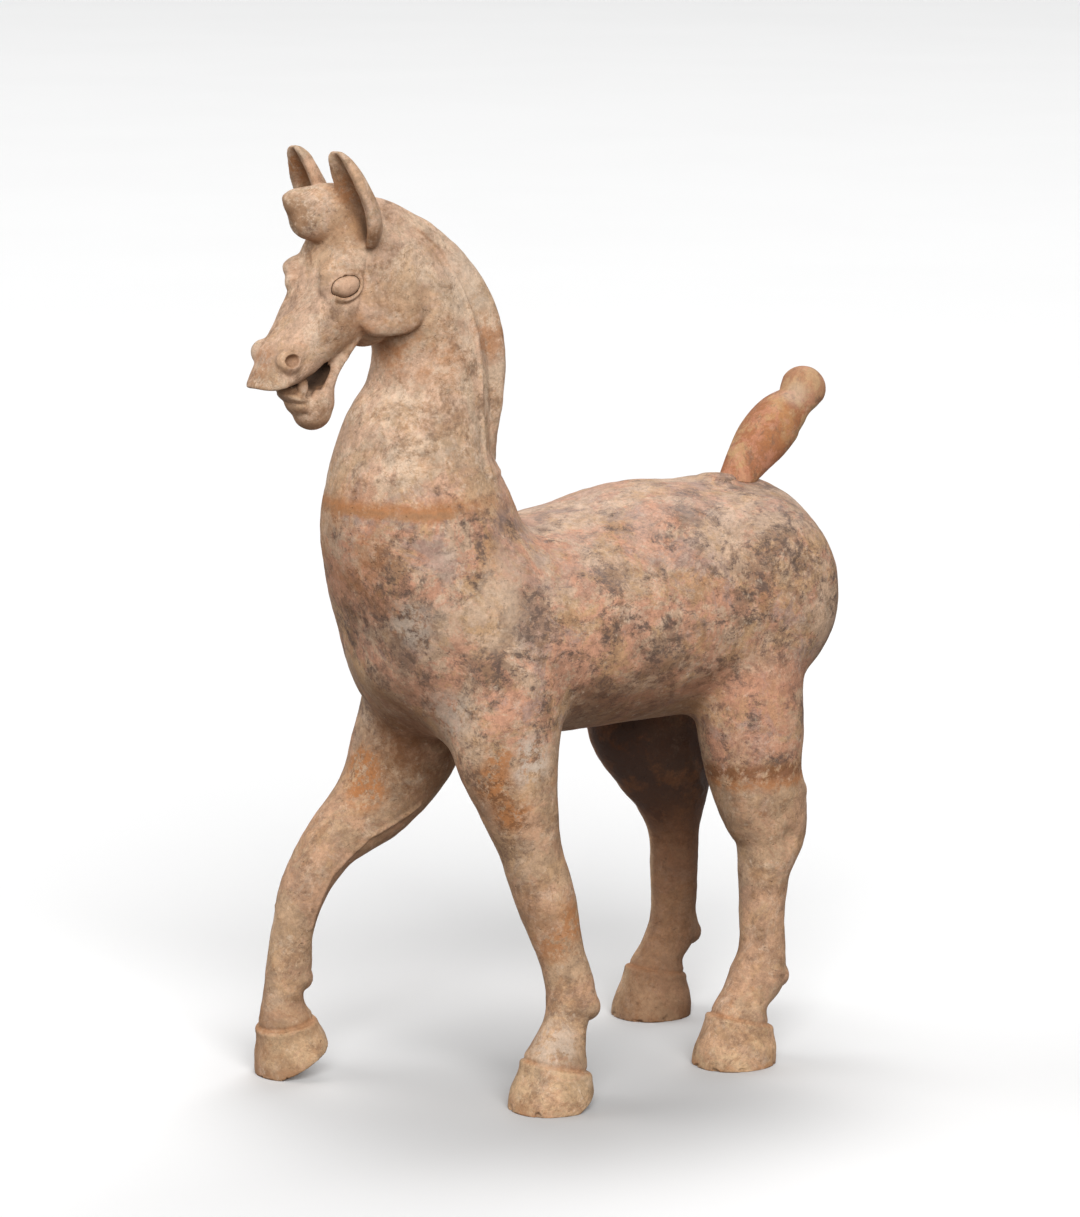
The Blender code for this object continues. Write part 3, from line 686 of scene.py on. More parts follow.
def mane_edge(points, step):
    """How much the edge of the mane raises each point: a step up to the mane and a thin roll along it."""
    heights, places = np.array(MANE_FOOT).T
    behind = points[:, 0] - np.interp(points[:, 2], heights, places)
    reach = step_up(points[:, 2] - 0.735, 0.006) * step_up(1.045 - points[:, 2], 0.020)
    reach *= step_up(0.10 - np.abs(behind - 0.02), 0.01)
    roll = MANE_ROLL * np.exp(-((behind / 0.003) ** 2))
    return reach * (step * step_up(behind + 0.002, 0.004) + roll)


def coronet_edge(points, x, y, coronet, slope):
    """How much a hoof's coronet raises each point: a lip below its edge, and a groove at it."""
    slant = math.radians(slope)
    above = (points[:, 2] - coronet) * math.cos(slant) + (points[:, 0] - x) * math.sin(slant)
    beside = np.hypot(points[:, 0] - x, points[:, 1] - y) < 0.08
    lip = np.exp(-(((above + 0.0045) / 0.0038) ** 2))
    groove = np.exp(-(((above - 0.001) / 0.0022) ** 2))
    return beside * (CORONET_LIP * lip - CORONET_GROOVE * groove)


def work_surface(body, mane_step, unevenness):
    """Leaves the marks of hand and tool on the clay: lines, edges and slight unevenness."""
    mesh = body.data
    points = coordinates(mesh)
    normals = np.empty(len(mesh.vertices) * 3)
    mesh.vertex_normals.foreach_get("vector", normals)
    normals = normals.reshape(-1, 3)
    both = points * (1.0, 0.0, 1.0)
    both[:, 1] = np.abs(points[:, 1])
    rise = np.zeros(len(points))
    for height, width, path in TOOLED_BOTH_SIDES:
        rise += height * nearness(both, path, width)
    for height, width, path in TOOLED:
        rise += height * nearness(points, path, width)
    for height, apart, width in LIDS:
        rise += height * nearness(both, lid_line(apart), width)
    rise += mane_edge(both, mane_step)
    for place in CORONETS.values():
        rise += coronet_edge(points, *place)
    soft = step_up(points[:, 2] - 0.004, 0.01)  # none at the soles
    for scale, share in LUMPS:
        lumps = [noise.noise(spot) for spot in (points * scale).tolist()]
        rise += unevenness * share * soft * np.array(lumps)
    points += normals * rise[:, None]
    mesh.vertices.foreach_set("co", points.ravel())
    mesh.update()


def eye_ball(name, side, grow=0.0):
    """An eyeball, or with some growth the hollow that it lies in."""
    x, y, z = EYE
    long, deep, tall = EYE_SIZE
    return ball(name, (x, side * y, z), (long + grow, deep, tall + grow), (0, -EYE_TILT, 0))


def lid_line(grow):
    """A ring round the right eye, larger than the eyeball by grow."""
    c, s = math.cos(math.radians(EYE_TILT)), math.sin(math.radians(EYE_TILT))
    x, y, z = EYE
    ring = []
    for angle in np.linspace(0.0, 2.0 * math.pi, 33).tolist():
        along, up = (EYE_SIZE[0] + grow) * math.cos(angle), (EYE_SIZE[2] + grow) * math.sin(angle)
        ring.append((x + c * along - s * up, y + LID_OUT, z + s * along + c * up))
    return ring


def toe_chips():
    """Small breaks along the lower edge of each hoof."""
    chance = random.Random(CHIP_SEED)
    chips = []
    for x, y, _, _ in CORONETS.values():
        for number in range(CHIPS_PER_HOOF):
            angle = math.radians(40.0 * number + chance.uniform(85.0, 105.0))
            across, along = 0.0535 * math.cos(angle), 0.0490 * math.sin(angle)
            spot = (x + across, y + along, chance.uniform(-0.001, 0.003))
            deep, wide = chance.uniform(0.001, 0.003), chance.uniform(0.004, 0.009)
            radii = (deep, wide, chance.uniform(0.002, 0.006))
            turn = (chance.uniform(-25.0, 25.0), 0.0, math.degrees(angle))
            chips.append(ball(f"chip_{len(chips)}", spot, radii, turn, subdivisions=3))
    return chips


def ground():
    """Everything below the floor."""
    return slab("ground", (-1.0, -1.0, -0.1), (1.0, 1.0, 0.0))


def metres(size):
    """A size as it was typed, to the nearest thousandth of a millimetre."""
    return round(size, 6)


def horse_mesh(sizes):
    """The body with all its parts joined, and the tail's socket cut in the rump."""
    body = broad_body()
    parts = [body] + pressed_parts()
    surfaces = surfaces_of(parts)
    body = remesh("pressed", parts, PRESSED_GRAIN)
    smooth(body, PRESS_PASSES, joints_between(coordinates(body.data), surfaces, PRESS_REACH))
    cut(
        body,
        prism("mouth", MOUTH, 0.06),
        *both_sides("nostril_bowl", (-0.3810, 0.0480, 0.8870), (0.0136, 0.0090, 0.0116)),
        ball("forelock_break", (-0.3870, 0.0, 1.0265), (0.047, 0.045, 0.034), (0, 52, 0)),
        ground(),
    )
    cut(
        body,
        prism("gullet", GULLET, 0.021),
        *both_sides("nostril_hole", (-0.3800, 0.042, 0.8895), (0.0100, 0.012, 0.0074)),
    )
    parts = [body] + crisp_parts()
    surfaces = surfaces_of(parts)
    body = remesh("horse_body", parts, metres(sizes.grain))
    smooth(body, CRISP_PASSES, joints_between(coordinates(body.data), surfaces, CRISP_REACH))
    smooth(body, 1)
    work_surface(body, metres(sizes.mane_step), metres(sizes.unevenness))
    thin(body, sizes.triangles)
    crease = metres(sizes.eye_crease)
    cut(
        body,
        eye_ball("left_socket", -1, crease),
        eye_ball("right_socket", 1, crease),
        *toe_chips(),
        loft("socket", TAIL, square=2.2, dome=1.0, step=0.009, sides=22, grow=metres(sizes.tail_gap)),
    )
    cut(body, ground())
    cut(body, eye_ball("left_eye", -1), eye_ball("right_eye", 1), way="UNION")
    return body


def tail_mesh():
    """A club of clay with a round knob, tapering at its foot to a stub that sits in the rump."""
    return loft("tail_club", TAIL, square=2.2, dome=1.0, step=0.003, sides=72, rounds=16)


MIX_AMOUNT, MIX_FIRST, MIX_SECOND, MIX_RESULT = 0, 6, 7, 2  # a colour Mix node's sockets


class Nodes:
    """A short way to lay out a material's nodes and link them."""

    def __init__(self, name):
        self.material = bpy.data.materials.new(name)
        self.material.use_nodes = True
        self.tree = self.material.node_tree
        self.shader = self.tree.nodes["Principled BSDF"]
        coordinates = self.add("ShaderNodeTexCoord")
        self.place = coordinates.outputs["Object"]
        self.normal = coordinates.outputs["Normal"]

    def add(self, kind, inputs=None, **settings):
        """A new node with its settings, and a value or a link for each input that is named."""
        node = self.tree.nodes.new(kind)
        for name, value in settings.items():
            setattr(node, name, value)
        for socket, value in (inputs or {}).items():
            self.put(node.inputs[socket], value)
        return node

    def put(self, socket, value):
        """Links the value to the socket, or sets it there."""
        if isinstance(value, bpy.types.NodeSocket):
            self.tree.links.new(value, socket)
        elif socket.type == "RGBA":
            socket.default_value = (*value[:3], 1.0)
        else:
            socket.default_value = value

    def noise(self, scale, detail=4.0, roughness=0.55, distortion=0.0, stretch=(1.0, 1.0, 1.0), shift=0.0):
        """Cloudy noise, drawn out along the axes by the stretch. A shift makes it unlike the others."""
        settings = {"Vector": self.place, "Location": (shift, shift, shift), "Scale": stretch}
        place = self.add("ShaderNodeMapping", settings).outputs[0]
        settings = {
            "Vector": place,
            "Scale": scale,
            "Detail": detail,
            "Roughness": roughness,
            "Distortion": distortion,
        }
        return self.add("ShaderNodeTexNoise", settings).outputs["Fac"]

    def span(self, value, low, high, to_low=0.0, to_high=1.0):
        """The value mapped smoothly from low..high to another span, and held there."""
        settings = {0: value, 1: low, 2: high, 3: to_low, 4: to_high}
        return self.add("ShaderNodeMapRange", settings, interpolation_type="SMOOTHSTEP").outputs[0]

    def band(self, value, middle, inner, outer):
        """1 where the value is within the inner distance of the middle, falling to 0 at the outer."""
        gap = self.maths("ABSOLUTE", self.maths("SUBTRACT", value, middle))
        return self.span(gap, inner, outer, 1.0, 0.0)

    def axes(self, vector):
        """The vector's three parts."""
        return self.add("ShaderNodeSeparateXYZ", {0: vector}).outputs[:]

    def maths(self, operation, first, second=0.0):
        return self.add("ShaderNodeMath", {0: first, 1: second}, operation=operation).outputs[0]

    def times(self, *values):
        total = values[0]
        for value in values[1:]:
            total = self.maths("MULTIPLY", total, value)
        return total

    def mix(self, amount, first, second, blend="MIX"):
        settings = {MIX_AMOUNT: amount, MIX_FIRST: first, MIX_SECOND: second}
        node = self.add("ShaderNodeMix", settings, data_type="RGBA", blend_type=blend)
        return node.outputs[MIX_RESULT]

    def near(self, point, inner, outer):
        """1 within the inner distance of a point, falling to 0 at the outer."""
        settings = {0: self.place, 1: point}
        gap = self.add("ShaderNodeVectorMath", settings, operation="DISTANCE").outputs["Value"]
        return self.span(gap, inner, outer, 1.0, 0.0)


# Stained places, some of them painted shade and one a painted highlight: centre, reach, amount and colour.
PATCHES = (
    ((-0.297, -0.02, 0.66), 0.10, 0.6, "rust"),
    ((-0.27, -0.05, 0.50), 0.09, 0.5, "stain"),
    ((-0.116, -0.107, 0.66), 0.10, 0.5, "lilac"),
    ((-0.204, -0.053, 0.896), 0.06, 0.6, "rust"),
    ((-0.300, -0.045, 0.910), 0.05, 0.5, "rust"),
    ((0.215, -0.160, 0.430), 0.11, 0.45, "pink"),
    ((0.225, 0.097, 0.265), 0.03, 1.0, "speck_and_shade"),
    ((-0.255, -0.057, 0.955), 0.055, 0.5, "umber"),
    ((-0.185, -0.130, 0.605), 0.080, 0.6, "pale"),
    ((-0.295, -0.045, 1.030), 0.050, 0.5, "umber"),
    # Painted shade, in red earth, at the right foreleg's armpit and under the chest.
    ((-0.150, 0.040, 0.400), 0.100, 0.9, "soil_and_shade"),
    ((-0.205, 0.000, 0.440), 0.080, 0.8, "soil_and_shade"),
    ((-0.140, -0.160, 0.422), 0.040, 0.9, "ash"),
    ((-0.210, -0.100, 0.473), 0.045, 0.6, "ash"),
    ((-0.221, -0.118, 0.640), 0.055, 0.4, "ash"),
    ((-0.253, -0.083, 0.580), 0.040, 0.7, "ash"),
    ((-0.111, -0.170, 0.080), 0.040, 0.6, "ash"),
    ((-0.181, -0.139, 0.393), 0.034, 1.0, "rust"),
    ((-0.173, -0.151, 0.424), 0.028, 0.9, "rust"),
    ((-0.157, -0.149, 0.357), 0.032, 1.0, "rust"),
    ((-0.077, -0.162, 0.223), 0.036, 0.8, "rust"),
    ((-0.108, -0.155, 0.196), 0.034, 0.7, "rust"),
    ((-0.178, -0.142, 0.388), 0.036, 0.9, "soil_and_shade"),
    ((-0.160, -0.149, 0.352), 0.030, 0.8, "soil_and_shade"),
    ((-0.208, 0.088, 0.362), 0.040, 0.7, "soil_and_shade"),
    ((-0.350, -0.010, 1.035), 0.034, 0.7, "stain"),
    # Stains and painted shade along the left foreleg's front edge.
    ((-0.198, -0.112, 0.408), 0.040, 0.7, "stain"),
    ((-0.153, -0.131, 0.311), 0.040, 0.7, "stain"),
    ((-0.122, -0.145, 0.224), 0.036, 0.6, "umber"),
    ((-0.206, 0.093, 0.379), 0.034, 1.0, "rust"),
    ((-0.208, 0.084, 0.350), 0.036, 1.0, "rust"),
    ((-0.262, 0.150, 0.030), 0.110, 0.7, "umber"),
    ((0.192, 0.057, 0.373), 0.040, 0.8, "rust"),
    ((-0.297, -0.041, 1.079), 0.034, 0.8, "rust"),
    ((-0.285, -0.041, 1.042), 0.030, 0.6, "ochre"),
    ((-0.292, -0.066, 1.024), 0.024, 0.9, "umber"),
    ((-0.310, 0.056, 1.098), 0.036, 0.8, "rust"),
    ((-0.357, -0.007, 1.049), 0.036, 0.8, "umber"),
    ((-0.396, 0.002, 0.885), 0.030, 0.6, "rust"),
    ((-0.408, -0.008, 0.861), 0.020, 0.8, "umber"),
    ((-0.343, -0.015, 0.815), 0.030, 0.7, "umber"),
    ((-0.236, -0.019, 0.891), 0.050, 0.8, "rust"),
    ((-0.151, -0.041, 0.966), 0.055, 0.6, "cream"),
    ((-0.116, -0.045, 0.900), 0.040, 0.6, "rust"),
    # A painted highlight on the left eye.
    ((-0.315, -0.060, 0.9705), 0.022, 0.8, "pale"),
)
# Where the dark flecks gather: centre and reach.
CLUSTERS = (
    ((0.258, -0.147, 0.614), 0.075),
    ((0.205, -0.147, 0.600), 0.045),
    ((0.180, -0.157, 0.555), 0.050),
    ((0.056, -0.156, 0.522), 0.060),
    ((-0.045, -0.157, 0.552), 0.050),
    ((-0.163, -0.143, 0.562), 0.055),
    ((-0.260, -0.066, 0.585), 0.075),
    ((-0.271, -0.074, 0.640), 0.045),
    ((-0.023, -0.135, 0.474), 0.060),
    ((0.000, -0.130, 0.620), 0.040),
    ((0.147, -0.102, 0.667), 0.060),
    ((-0.120, -0.158, 0.585), 0.060),
    ((-0.190, -0.140, 0.520), 0.055),
    ((-0.255, -0.085, 0.520), 0.060),
    ((0.230, -0.155, 0.520), 0.050),
)
# Mottling: the noise's scale, distortion, shift and stretch along the body, the values where it starts and
# is full, the part of the horse that has more of it, how much it covers elsewhere and there, and its colour.
MOTTLING = (
    (11.0, 0.6, 0.0, 0.7, (0.47, 0.53), "body", (0.30, 0.75), "pink"),
    (15.0, 0.4, 51.0, 1.0, (0.51, 0.56), "body", (0.45, 0.70), "ochre"),
    (13.0, 0.5, 3.0, 1.0, (0.53, 0.59), "body", (0.16, 0.65), "lilac"),
    (17.0, 0.4, 11.0, 1.0, (0.56, 0.64), "legs", (0.36, 0.50), "rust"),
    (24.0, 0.5, 61.0, 1.0, (0.53, 0.59), "upper", (0.25, 0.45), "cream"),
)
NECK_JOINT = 0.712  # height of the rusty line round the neck
THIGH_JOINT = 0.357  # height of the dark line round the hind legs
SMALL_PATCH = 0.045  # a patch of up to this reach has a finer edge
PAINTED_SHADE_LOW = (0.82, 0.82, 0.84)  # painted shade that dims the clay on the far hind leg's inner side, at the fetlock
PAINTED_SHADE_HIGH = (0.46, 0.36, 0.30)  # the same, on the thigh
EYE_FACE = 0.062  # how far from the middle plane the eyeballs' faces are


def clay_skin(n, colours, colour, relief, dusty):
    """Dirt and painted shade in the hollows, dust on the skin, fine grain and pits."""
    hollow = n.add("ShaderNodeAmbientOcclusion", {"Distance": 0.035}, samples=6, only_local=True)
    hollow = hollow.outputs["AO"]
    # Partly dirt, partly painted shade: the clay darkens in its hollows, the more the more they are occluded.
    colour = n.mix(n.span(hollow, 0.93, 0.60, 0.0, 0.55), colour, colours.hollow_dirt_and_shade)
    colour = n.mix(n.span(hollow, 0.70, 0.25, 0.0, 0.85), colour, colours.deep_dirt_and_shade)
    dust = n.span(n.noise(80.0, 7.0, 0.74, 0.1, shift=23.0), 0.56, 0.72)
    colour = n.mix(n.times(dust, dusty), colour, colours.dust)
    grain = n.noise(260.0, 4.0, 0.7)
    colour = n.mix(0.22, colour, n.span(grain, 0.3, 0.7, 0.5, 1.5), "MULTIPLY")
    n.put(n.shader.inputs["Base Color"], colour)
    n.put(n.shader.inputs["Roughness"], n.span(grain, 0.3, 0.7, 0.75, 0.92))
    n.put(n.shader.inputs["Specular IOR Level"], 0.3)
    skin = n.noise(55.0, 8.0, 0.66, 0.2)
    pits = n.span(n.noise(150.0, 4.0, 0.6, shift=5.0), 0.60, 0.78)
    height = n.maths("SUBTRACT", skin, n.times(pits, 0.7))
    bump = n.add("ShaderNodeBump", {"Height": height, "Strength": relief, "Distance": 0.0022})
    n.put(n.shader.inputs["Normal"], bump.outputs[0])


def coronet_masks(n):
    """Where the hooves are, and where the line round each coronet runs."""
    hooves = lines = 0.0
    for x, y, coronet, slope in CORONETS.values():
        slant = math.radians(slope)
        settings = {0: n.place, 1: (math.sin(slant), 0.0, math.cos(slant))}
        edge = n.add("ShaderNodeVectorMath", settings, operation="DOT_PRODUCT").outputs["Value"]
        above = n.maths("SUBTRACT", edge, x * math.sin(slant) + coronet * math.cos(slant))
        beside = n.near((x, y, coronet), 0.070, 0.080)
        hooves = n.maths("MAXIMUM", hooves, n.times(beside, n.span(above, 0.003, -0.003)))
        lines = n.maths("MAXIMUM", lines, n.times(n.band(above, 0.0, 0.0010, 0.0045), beside))
    return hooves, lines


def mottled_clay(n, colours, where):
    """The clay's own colours, from the hooves to the head, and their mottling."""
    colour = n.mix(where["legs"], colours.buff, colours.tan)
    colour = n.mix(where["upper"], colour, colours.pale)
    colour = n.mix(n.times(where["hooves"], 0.75), colour, colours.horn)
    for scale, distortion, shift, stretch, (low, high), part, (least, most), tint in MOTTLING:
        cloud = n.noise(scale, 12.0, 0.80, distortion, (stretch, 1.0, 1.0), shift)
        amount = n.times(n.span(cloud, low, high), n.span(where[part], 0.0, 1.0, least, most))
        colour = n.mix(amount, colour, getattr(colours, tint))
    return colour


def stained(n, colours, colour, body, ragged, shards):
    """Burial stains, dark flecks and shards, root marks and weathering."""
    gather = 0.0
    for point, reach in CLUSTERS:
        gather = n.maths("MAXIMUM", gather, n.near(point, 0.0, reach))
    cloud = n.noise(24.0, 12.0, 0.80, 0.4, (0.8, 1.0, 1.0), 7.0)
    cloud = n.maths("ADD", cloud, n.times(gather, 0.10))
    stain = n.span(cloud, 0.52, 0.60)
    colour = n.mix(n.times(stain, n.span(body, 0.0, 1.0, 0.62, 0.30)), colour, colours.umber)
    colour = n.mix(n.times(stain, body, 0.55), colour, colours.stain)
    fleck = n.noise(80.0, 10.0, 0.82, 0.3, (0.7, 1.0, 1.0), 31.0)
    flecks = n.times(n.span(fleck, 0.48, 0.55), n.span(cloud, 0.47, 0.58))
    colour = n.mix(n.times(flecks, n.span(body, 0.0, 1.0, 0.30, 0.80)), colour, colours.speck_and_shade)
    shard = n.times(n.span(shards, 0.54, 0.60), n.span(body, 0.0, 1.0, 0.22, 0.5))
    colour = n.mix(shard, colour, colours.stain)
    roots = n.band(n.noise(24.0, 7.0, 0.66, 0.7, shift=91.0), 0.5, 0.003, 0.020)
    colour = n.mix(n.times(roots, n.span(ragged, 0.42, 0.56), 0.5), colour, colours.umber)
    weathered = n.noise(38.0, 12.0, 0.82, 0.4, shift=71.0)
    return n.mix(0.7, colour, n.span(weathered, 0.38, 0.62, 0.62, 1.22), "MULTIPLY")


def clay_finish(name, colours):
    """Low-fired clay: ochre, pink and grey mottling, dark flecks, joint lines, dust and fine pits, with
    painted shade, a painted sheen and a painted highlight.
    """
    n = Nodes(name)
    x, y, z = n.axes(n.place)
    _, facing_right, facing_up = n.axes(n.normal)
    ragged = n.noise(22.0, 8.0, 0.72, shift=41.0)
    frayed = n.noise(60.0, 9.0, 0.76, shift=47.0)
    shards = n.noise(120.0, 8.0, 0.82, 0.3, (0.7, 1.0, 1.0), 83.0)
    height = n.maths("ADD", z, n.times(n.maths("SUBTRACT", ragged, 0.5), 0.05))
    fine_height = n.maths("ADD", z, n.times(n.maths("SUBTRACT", frayed, 0.5), 0.030))
    behind = n.span(x, 0.02, 0.10)
    fore = n.times(n.span(height, 0.34, 0.50), n.maths("SUBTRACT", 1.0, behind))
    hind = n.times(n.span(height, THIGH_JOINT, THIGH_JOINT + 0.012), behind)
    body = n.times(n.maths("ADD", fore, hind), n.span(height, 0.80, 0.66))
    hooves, coronet_lines = coronet_masks(n)
    where = {
        "body": body,
        "upper": n.span(height, 0.66, 0.80),
        "legs": n.span(height, 0.50, 0.36),
        "hooves": hooves,
    }
    colour = mottled_clay(n, colours, where)
    colour = stained(n, colours, colour, body, ragged, shards)
    colour = n.mix(n.times(coronet_lines, n.span(ragged, 0.36, 0.60), 0.5), colour, colours.rust)
    worn = n.times(n.span(z, 0.022, 0.0), n.span(ragged, 0.45, 0.60), 0.6)
    colour = n.mix(worn, colour, colours.rust)

    # The joints of the neck and the hind legs, each a rusty band with a darker line along it.
    girth = n.span(x, -0.10, -0.22, 0.15, 0.9)
    glow = n.times(n.band(height, NECK_JOINT, 0.003, 0.016), girth, n.span(ragged, 0.32, 0.54), 0.95)
    colour = n.mix(glow, colour, colours.rust)
    line = n.band(fine_height, NECK_JOINT - 0.006, 0.001, 0.006)
    line = n.times(line, girth, n.span(ragged, 0.30, 0.55), 0.8)
    colour = n.mix(line, colour, colours.umber)
    rim = n.times(n.band(height, THIGH_JOINT - 0.004, 0.003, 0.016), behind, n.span(frayed, 0.40, 0.56), 0.9)
    colour = n.mix(rim, colour, colours.rust)
    crust = n.band(fine_height, THIGH_JOINT + 0.007, 0.004, 0.015)
    colour = n.mix(n.times(crust, behind, n.span(frayed, 0.40, 0.52), 0.95), colour, colours.soil_and_shade)

    for point, reach, amount, tint in PATCHES:
        if reach > SMALL_PATCH:
            edge = n.span(ragged, 0.38, 0.62)
        elif tint in ("soil_and_shade", "stain") and reach < SMALL_PATCH:
            edge = n.span(shards, 0.49, 0.55)
        else:
            edge = n.span(frayed, 0.44, 0.54)
        patch = n.times(n.near(point, reach * 0.35, reach), edge, amount)
        colour = n.mix(patch, colour, getattr(colours, tint))

    # The mouth's dark inside and the darker undersides, both dirt and painted shade; grey dust and a painted
    # sheen on the back; painted shade on the far hind leg's inner side; and the eyes.
    # Partly dirt, partly painted shade: the inside of the mouth is painted nearly black.
    mouth = n.times(n.band(y, 0.0, 0.0215, 0.0235), n.span(x, -0.3480, -0.3440), n.span(x, -0.308, -0.310))
    mouth = n.times(mouth, n.span(z, 0.849, 0.852), n.span(z, 0.890, 0.887))
    colour = n.mix(mouth, colour, colours.mouth)
    # Red earth and painted shade on the surfaces that face down, above the lower legs.
    underside_earth_and_shade = n.times(n.span(facing_up, -0.05, -0.80), n.span(z, 0.12, 0.30), 0.5)
    colour = n.mix(underside_earth_and_shade, colour, colours.soil_and_shade)
    # Grey dust and a painted sheen on the body's surfaces that face up.
    top = n.times(n.span(facing_up, 0.35, 0.90), body, n.span(ragged, 0.34, 0.60), 0.30)
    colour = n.mix(top, colour, colours.back)
    # Painted shade on the far hind leg's inner side: red earth, dark specks above the hock, and a dimming
    # that is deepest on the thigh.
    inner = n.times(n.span(x, 0.06, 0.13), n.span(y, 0.02, 0.07), n.span(facing_right, 0.45, -0.10))
    colour = n.mix(n.times(inner, n.span(z, 0.56, 0.46, 0.0, 0.6)), colour, colours.soil_and_shade)
    deep = n.times(inner, n.span(z, 0.22, 0.32), n.span(z, 0.56, 0.46, 0.0, 0.9), n.span(ragged, 0.36, 0.52))
    colour = n.mix(deep, colour, colours.speck_and_shade)
    inner = n.times(inner, n.span(z, 0.54, 0.42))
    colour = n.mix(inner, colour, n.mix(n.span(z, 0.08, 0.32), PAINTED_SHADE_LOW, PAINTED_SHADE_HIGH), "MULTIPLY")
    eyes = [n.near((EYE[0], side * EYE_FACE, EYE[2]), 0.010, 0.0185) for side in (-1, 1)]
    colour = n.mix(n.times(n.maths("MAXIMUM", *eyes), 0.75), colour, colours.eyes)
    clean = n.maths("MAXIMUM", inner, mouth)
    clay_skin(n, colours, colour, 0.75, n.span(clean, 0.0, 1.0, 0.5, 0.02))
    return n.material


def tail_finish(name, colours):
    """The tail's own orange clay, browned on the club and buff on the knob."""
    n = Nodes(name)
    colour = n.mix(n.span(n.noise(24.0, 9.0, 0.72, 0.4), 0.44, 0.58), colours.orange, colours.ochre)
    knob = n.near((0.382, 0.0, 0.797), 0.024, 0.042)
    colour = n.mix(n.times(knob, 0.30), colour, colours.tan)
    ragged = n.span(n.noise(40.0, 9.0, 0.74, shift=17.0), 0.40, 0.56)
    colour = n.mix(n.times(n.near((0.322, -0.03, 0.756), 0.012, 0.046), ragged, 0.75), colour, colours.rust)
    harder = n.span(n.noise(30.0, 9.0, 0.76, 0.3, shift=29.0), 0.50, 0.58)
    colour = n.mix(n.times(harder, 0.6), colour, colours.pink)
    stain = n.span(n.noise(55.0, 9.0, 0.78, 0.4, (1.0, 1.0, 0.6), 13.0), 0.53, 0.60)
    colour = n.mix(n.times(stain, 0.55), colour, colours.stain)
    worn = n.near((0.352, -0.02, 0.792), 0.006, 0.024)
    colour = n.mix(n.times(worn, 0.4), colour, colours.ash)
    clay_skin(n, colours, colour, 0.6, 0.25)
    return n.material


LENS_AXIS = (-0.028, -0.021)  # the upright through the horse that the camera turns round
SENSOR_HEIGHT = 36.0  # in millimetres, like the focal length
# The soft lamps: each one's heading round the horse and rise above the floor in degrees, and its share
# of the key light's strength.
LAMPS = {
    "key_lamp": (-26.0, 33.0, 1.0),
    "side_lamp": (-135.0, 24.0, 0.36),
    "back_lamp": (130.0, 45.0, 0.42),
}
LAMP_SPREAD = 45.0  # degrees of the sky that a lamp fills
FLOOR_REACH = 60.0
FLOOR_TOP = -0.0004  # a hair below the soles, so that the two don't share a plane
SHADE_MIDDLE = (-0.03, -0.06, 0.0)  # of the grey pool under the horse
SHADE_REACH = 0.64
SHADE_DEPTH = 0.64  # brightness of the paper in the pool's middle


def floor_finish(colour):
    """Plain matt white paper, greyer under the horse."""
    n = Nodes("paper_floor")
    pool = n.near(SHADE_MIDDLE, 0.05, SHADE_REACH)
    mottle = n.span(n.noise(0.8, 2.0), 0.3, 0.7, 0.99, 1.0)
    grey = n.times(n.span(pool, 0.0, 1.0, 1.0, SHADE_DEPTH), mottle)
    n.put(n.shader.inputs["Base Color"], n.mix(1.0, tuple(colour), grey, "MULTIPLY"))
    n.put(n.shader.inputs["Roughness"], 0.9)
    n.put(n.shader.inputs["Specular IOR Level"], 0.0)
    return n.material


def finish_piece(thing, material):
    """Gives the thing its one material and a smooth shaded surface."""
    thing.data.materials.clear()
    thing.data.materials.append(material)
    thing.data.shade_smooth()


def soft_lamp(name, heading, rise, strength):
    """A far soft lamp that stands at a heading round the horse, at an angle above the floor."""
    lamp = bpy.data.lights.new(name, "SUN")
    lamp.angle = math.radians(LAMP_SPREAD)
    lamp.energy = strength
    thing = bpy.data.objects.new(name, lamp)
    thing.rotation_euler = (math.radians(90.0 - rise), 0.0, math.radians(heading))
    bpy.context.scene.collection.objects.link(thing)


def tone(name, default, description):
    """A colour that can be changed in the panel."""
    return FloatVectorProperty(
        name=name, description=description, default=default, size=3, min=0.0, max=1.0, subtype="COLOR"
    )


def length(name, default, description, least=0.0):
    """A length that can be changed in the panel."""
    return FloatProperty(
        name=name, description=description, default=default, min=least, precision=4, unit="LENGTH"
    )


class TerracottaSizes(bpy.types.PropertyGroup):
    """Small sizes of the pieces, and how fine the horse's mesh is."""

    grain: length("Grain", 0.0016, "Step of the horse's finest mesh", least=0.001)
    triangles: IntProperty(
        name="Triangles", description="How many triangles that mesh is thinned to", default=176000, min=20000
    )
    mane_step: length("Mane's edge", 0.0026, "How far the mane stands out from the neck at its edge")
    unevenness: length("Unevenness", 0.0011, "Height of the lumps that the hand leaves on the clay")
    eye_crease: length("Eye crease", 0.0007, "Width of the groove between an eyeball and its lids")
    tail_gap: length("Tail gap", 0.0003, "Clearance between the tail's stub and its socket")


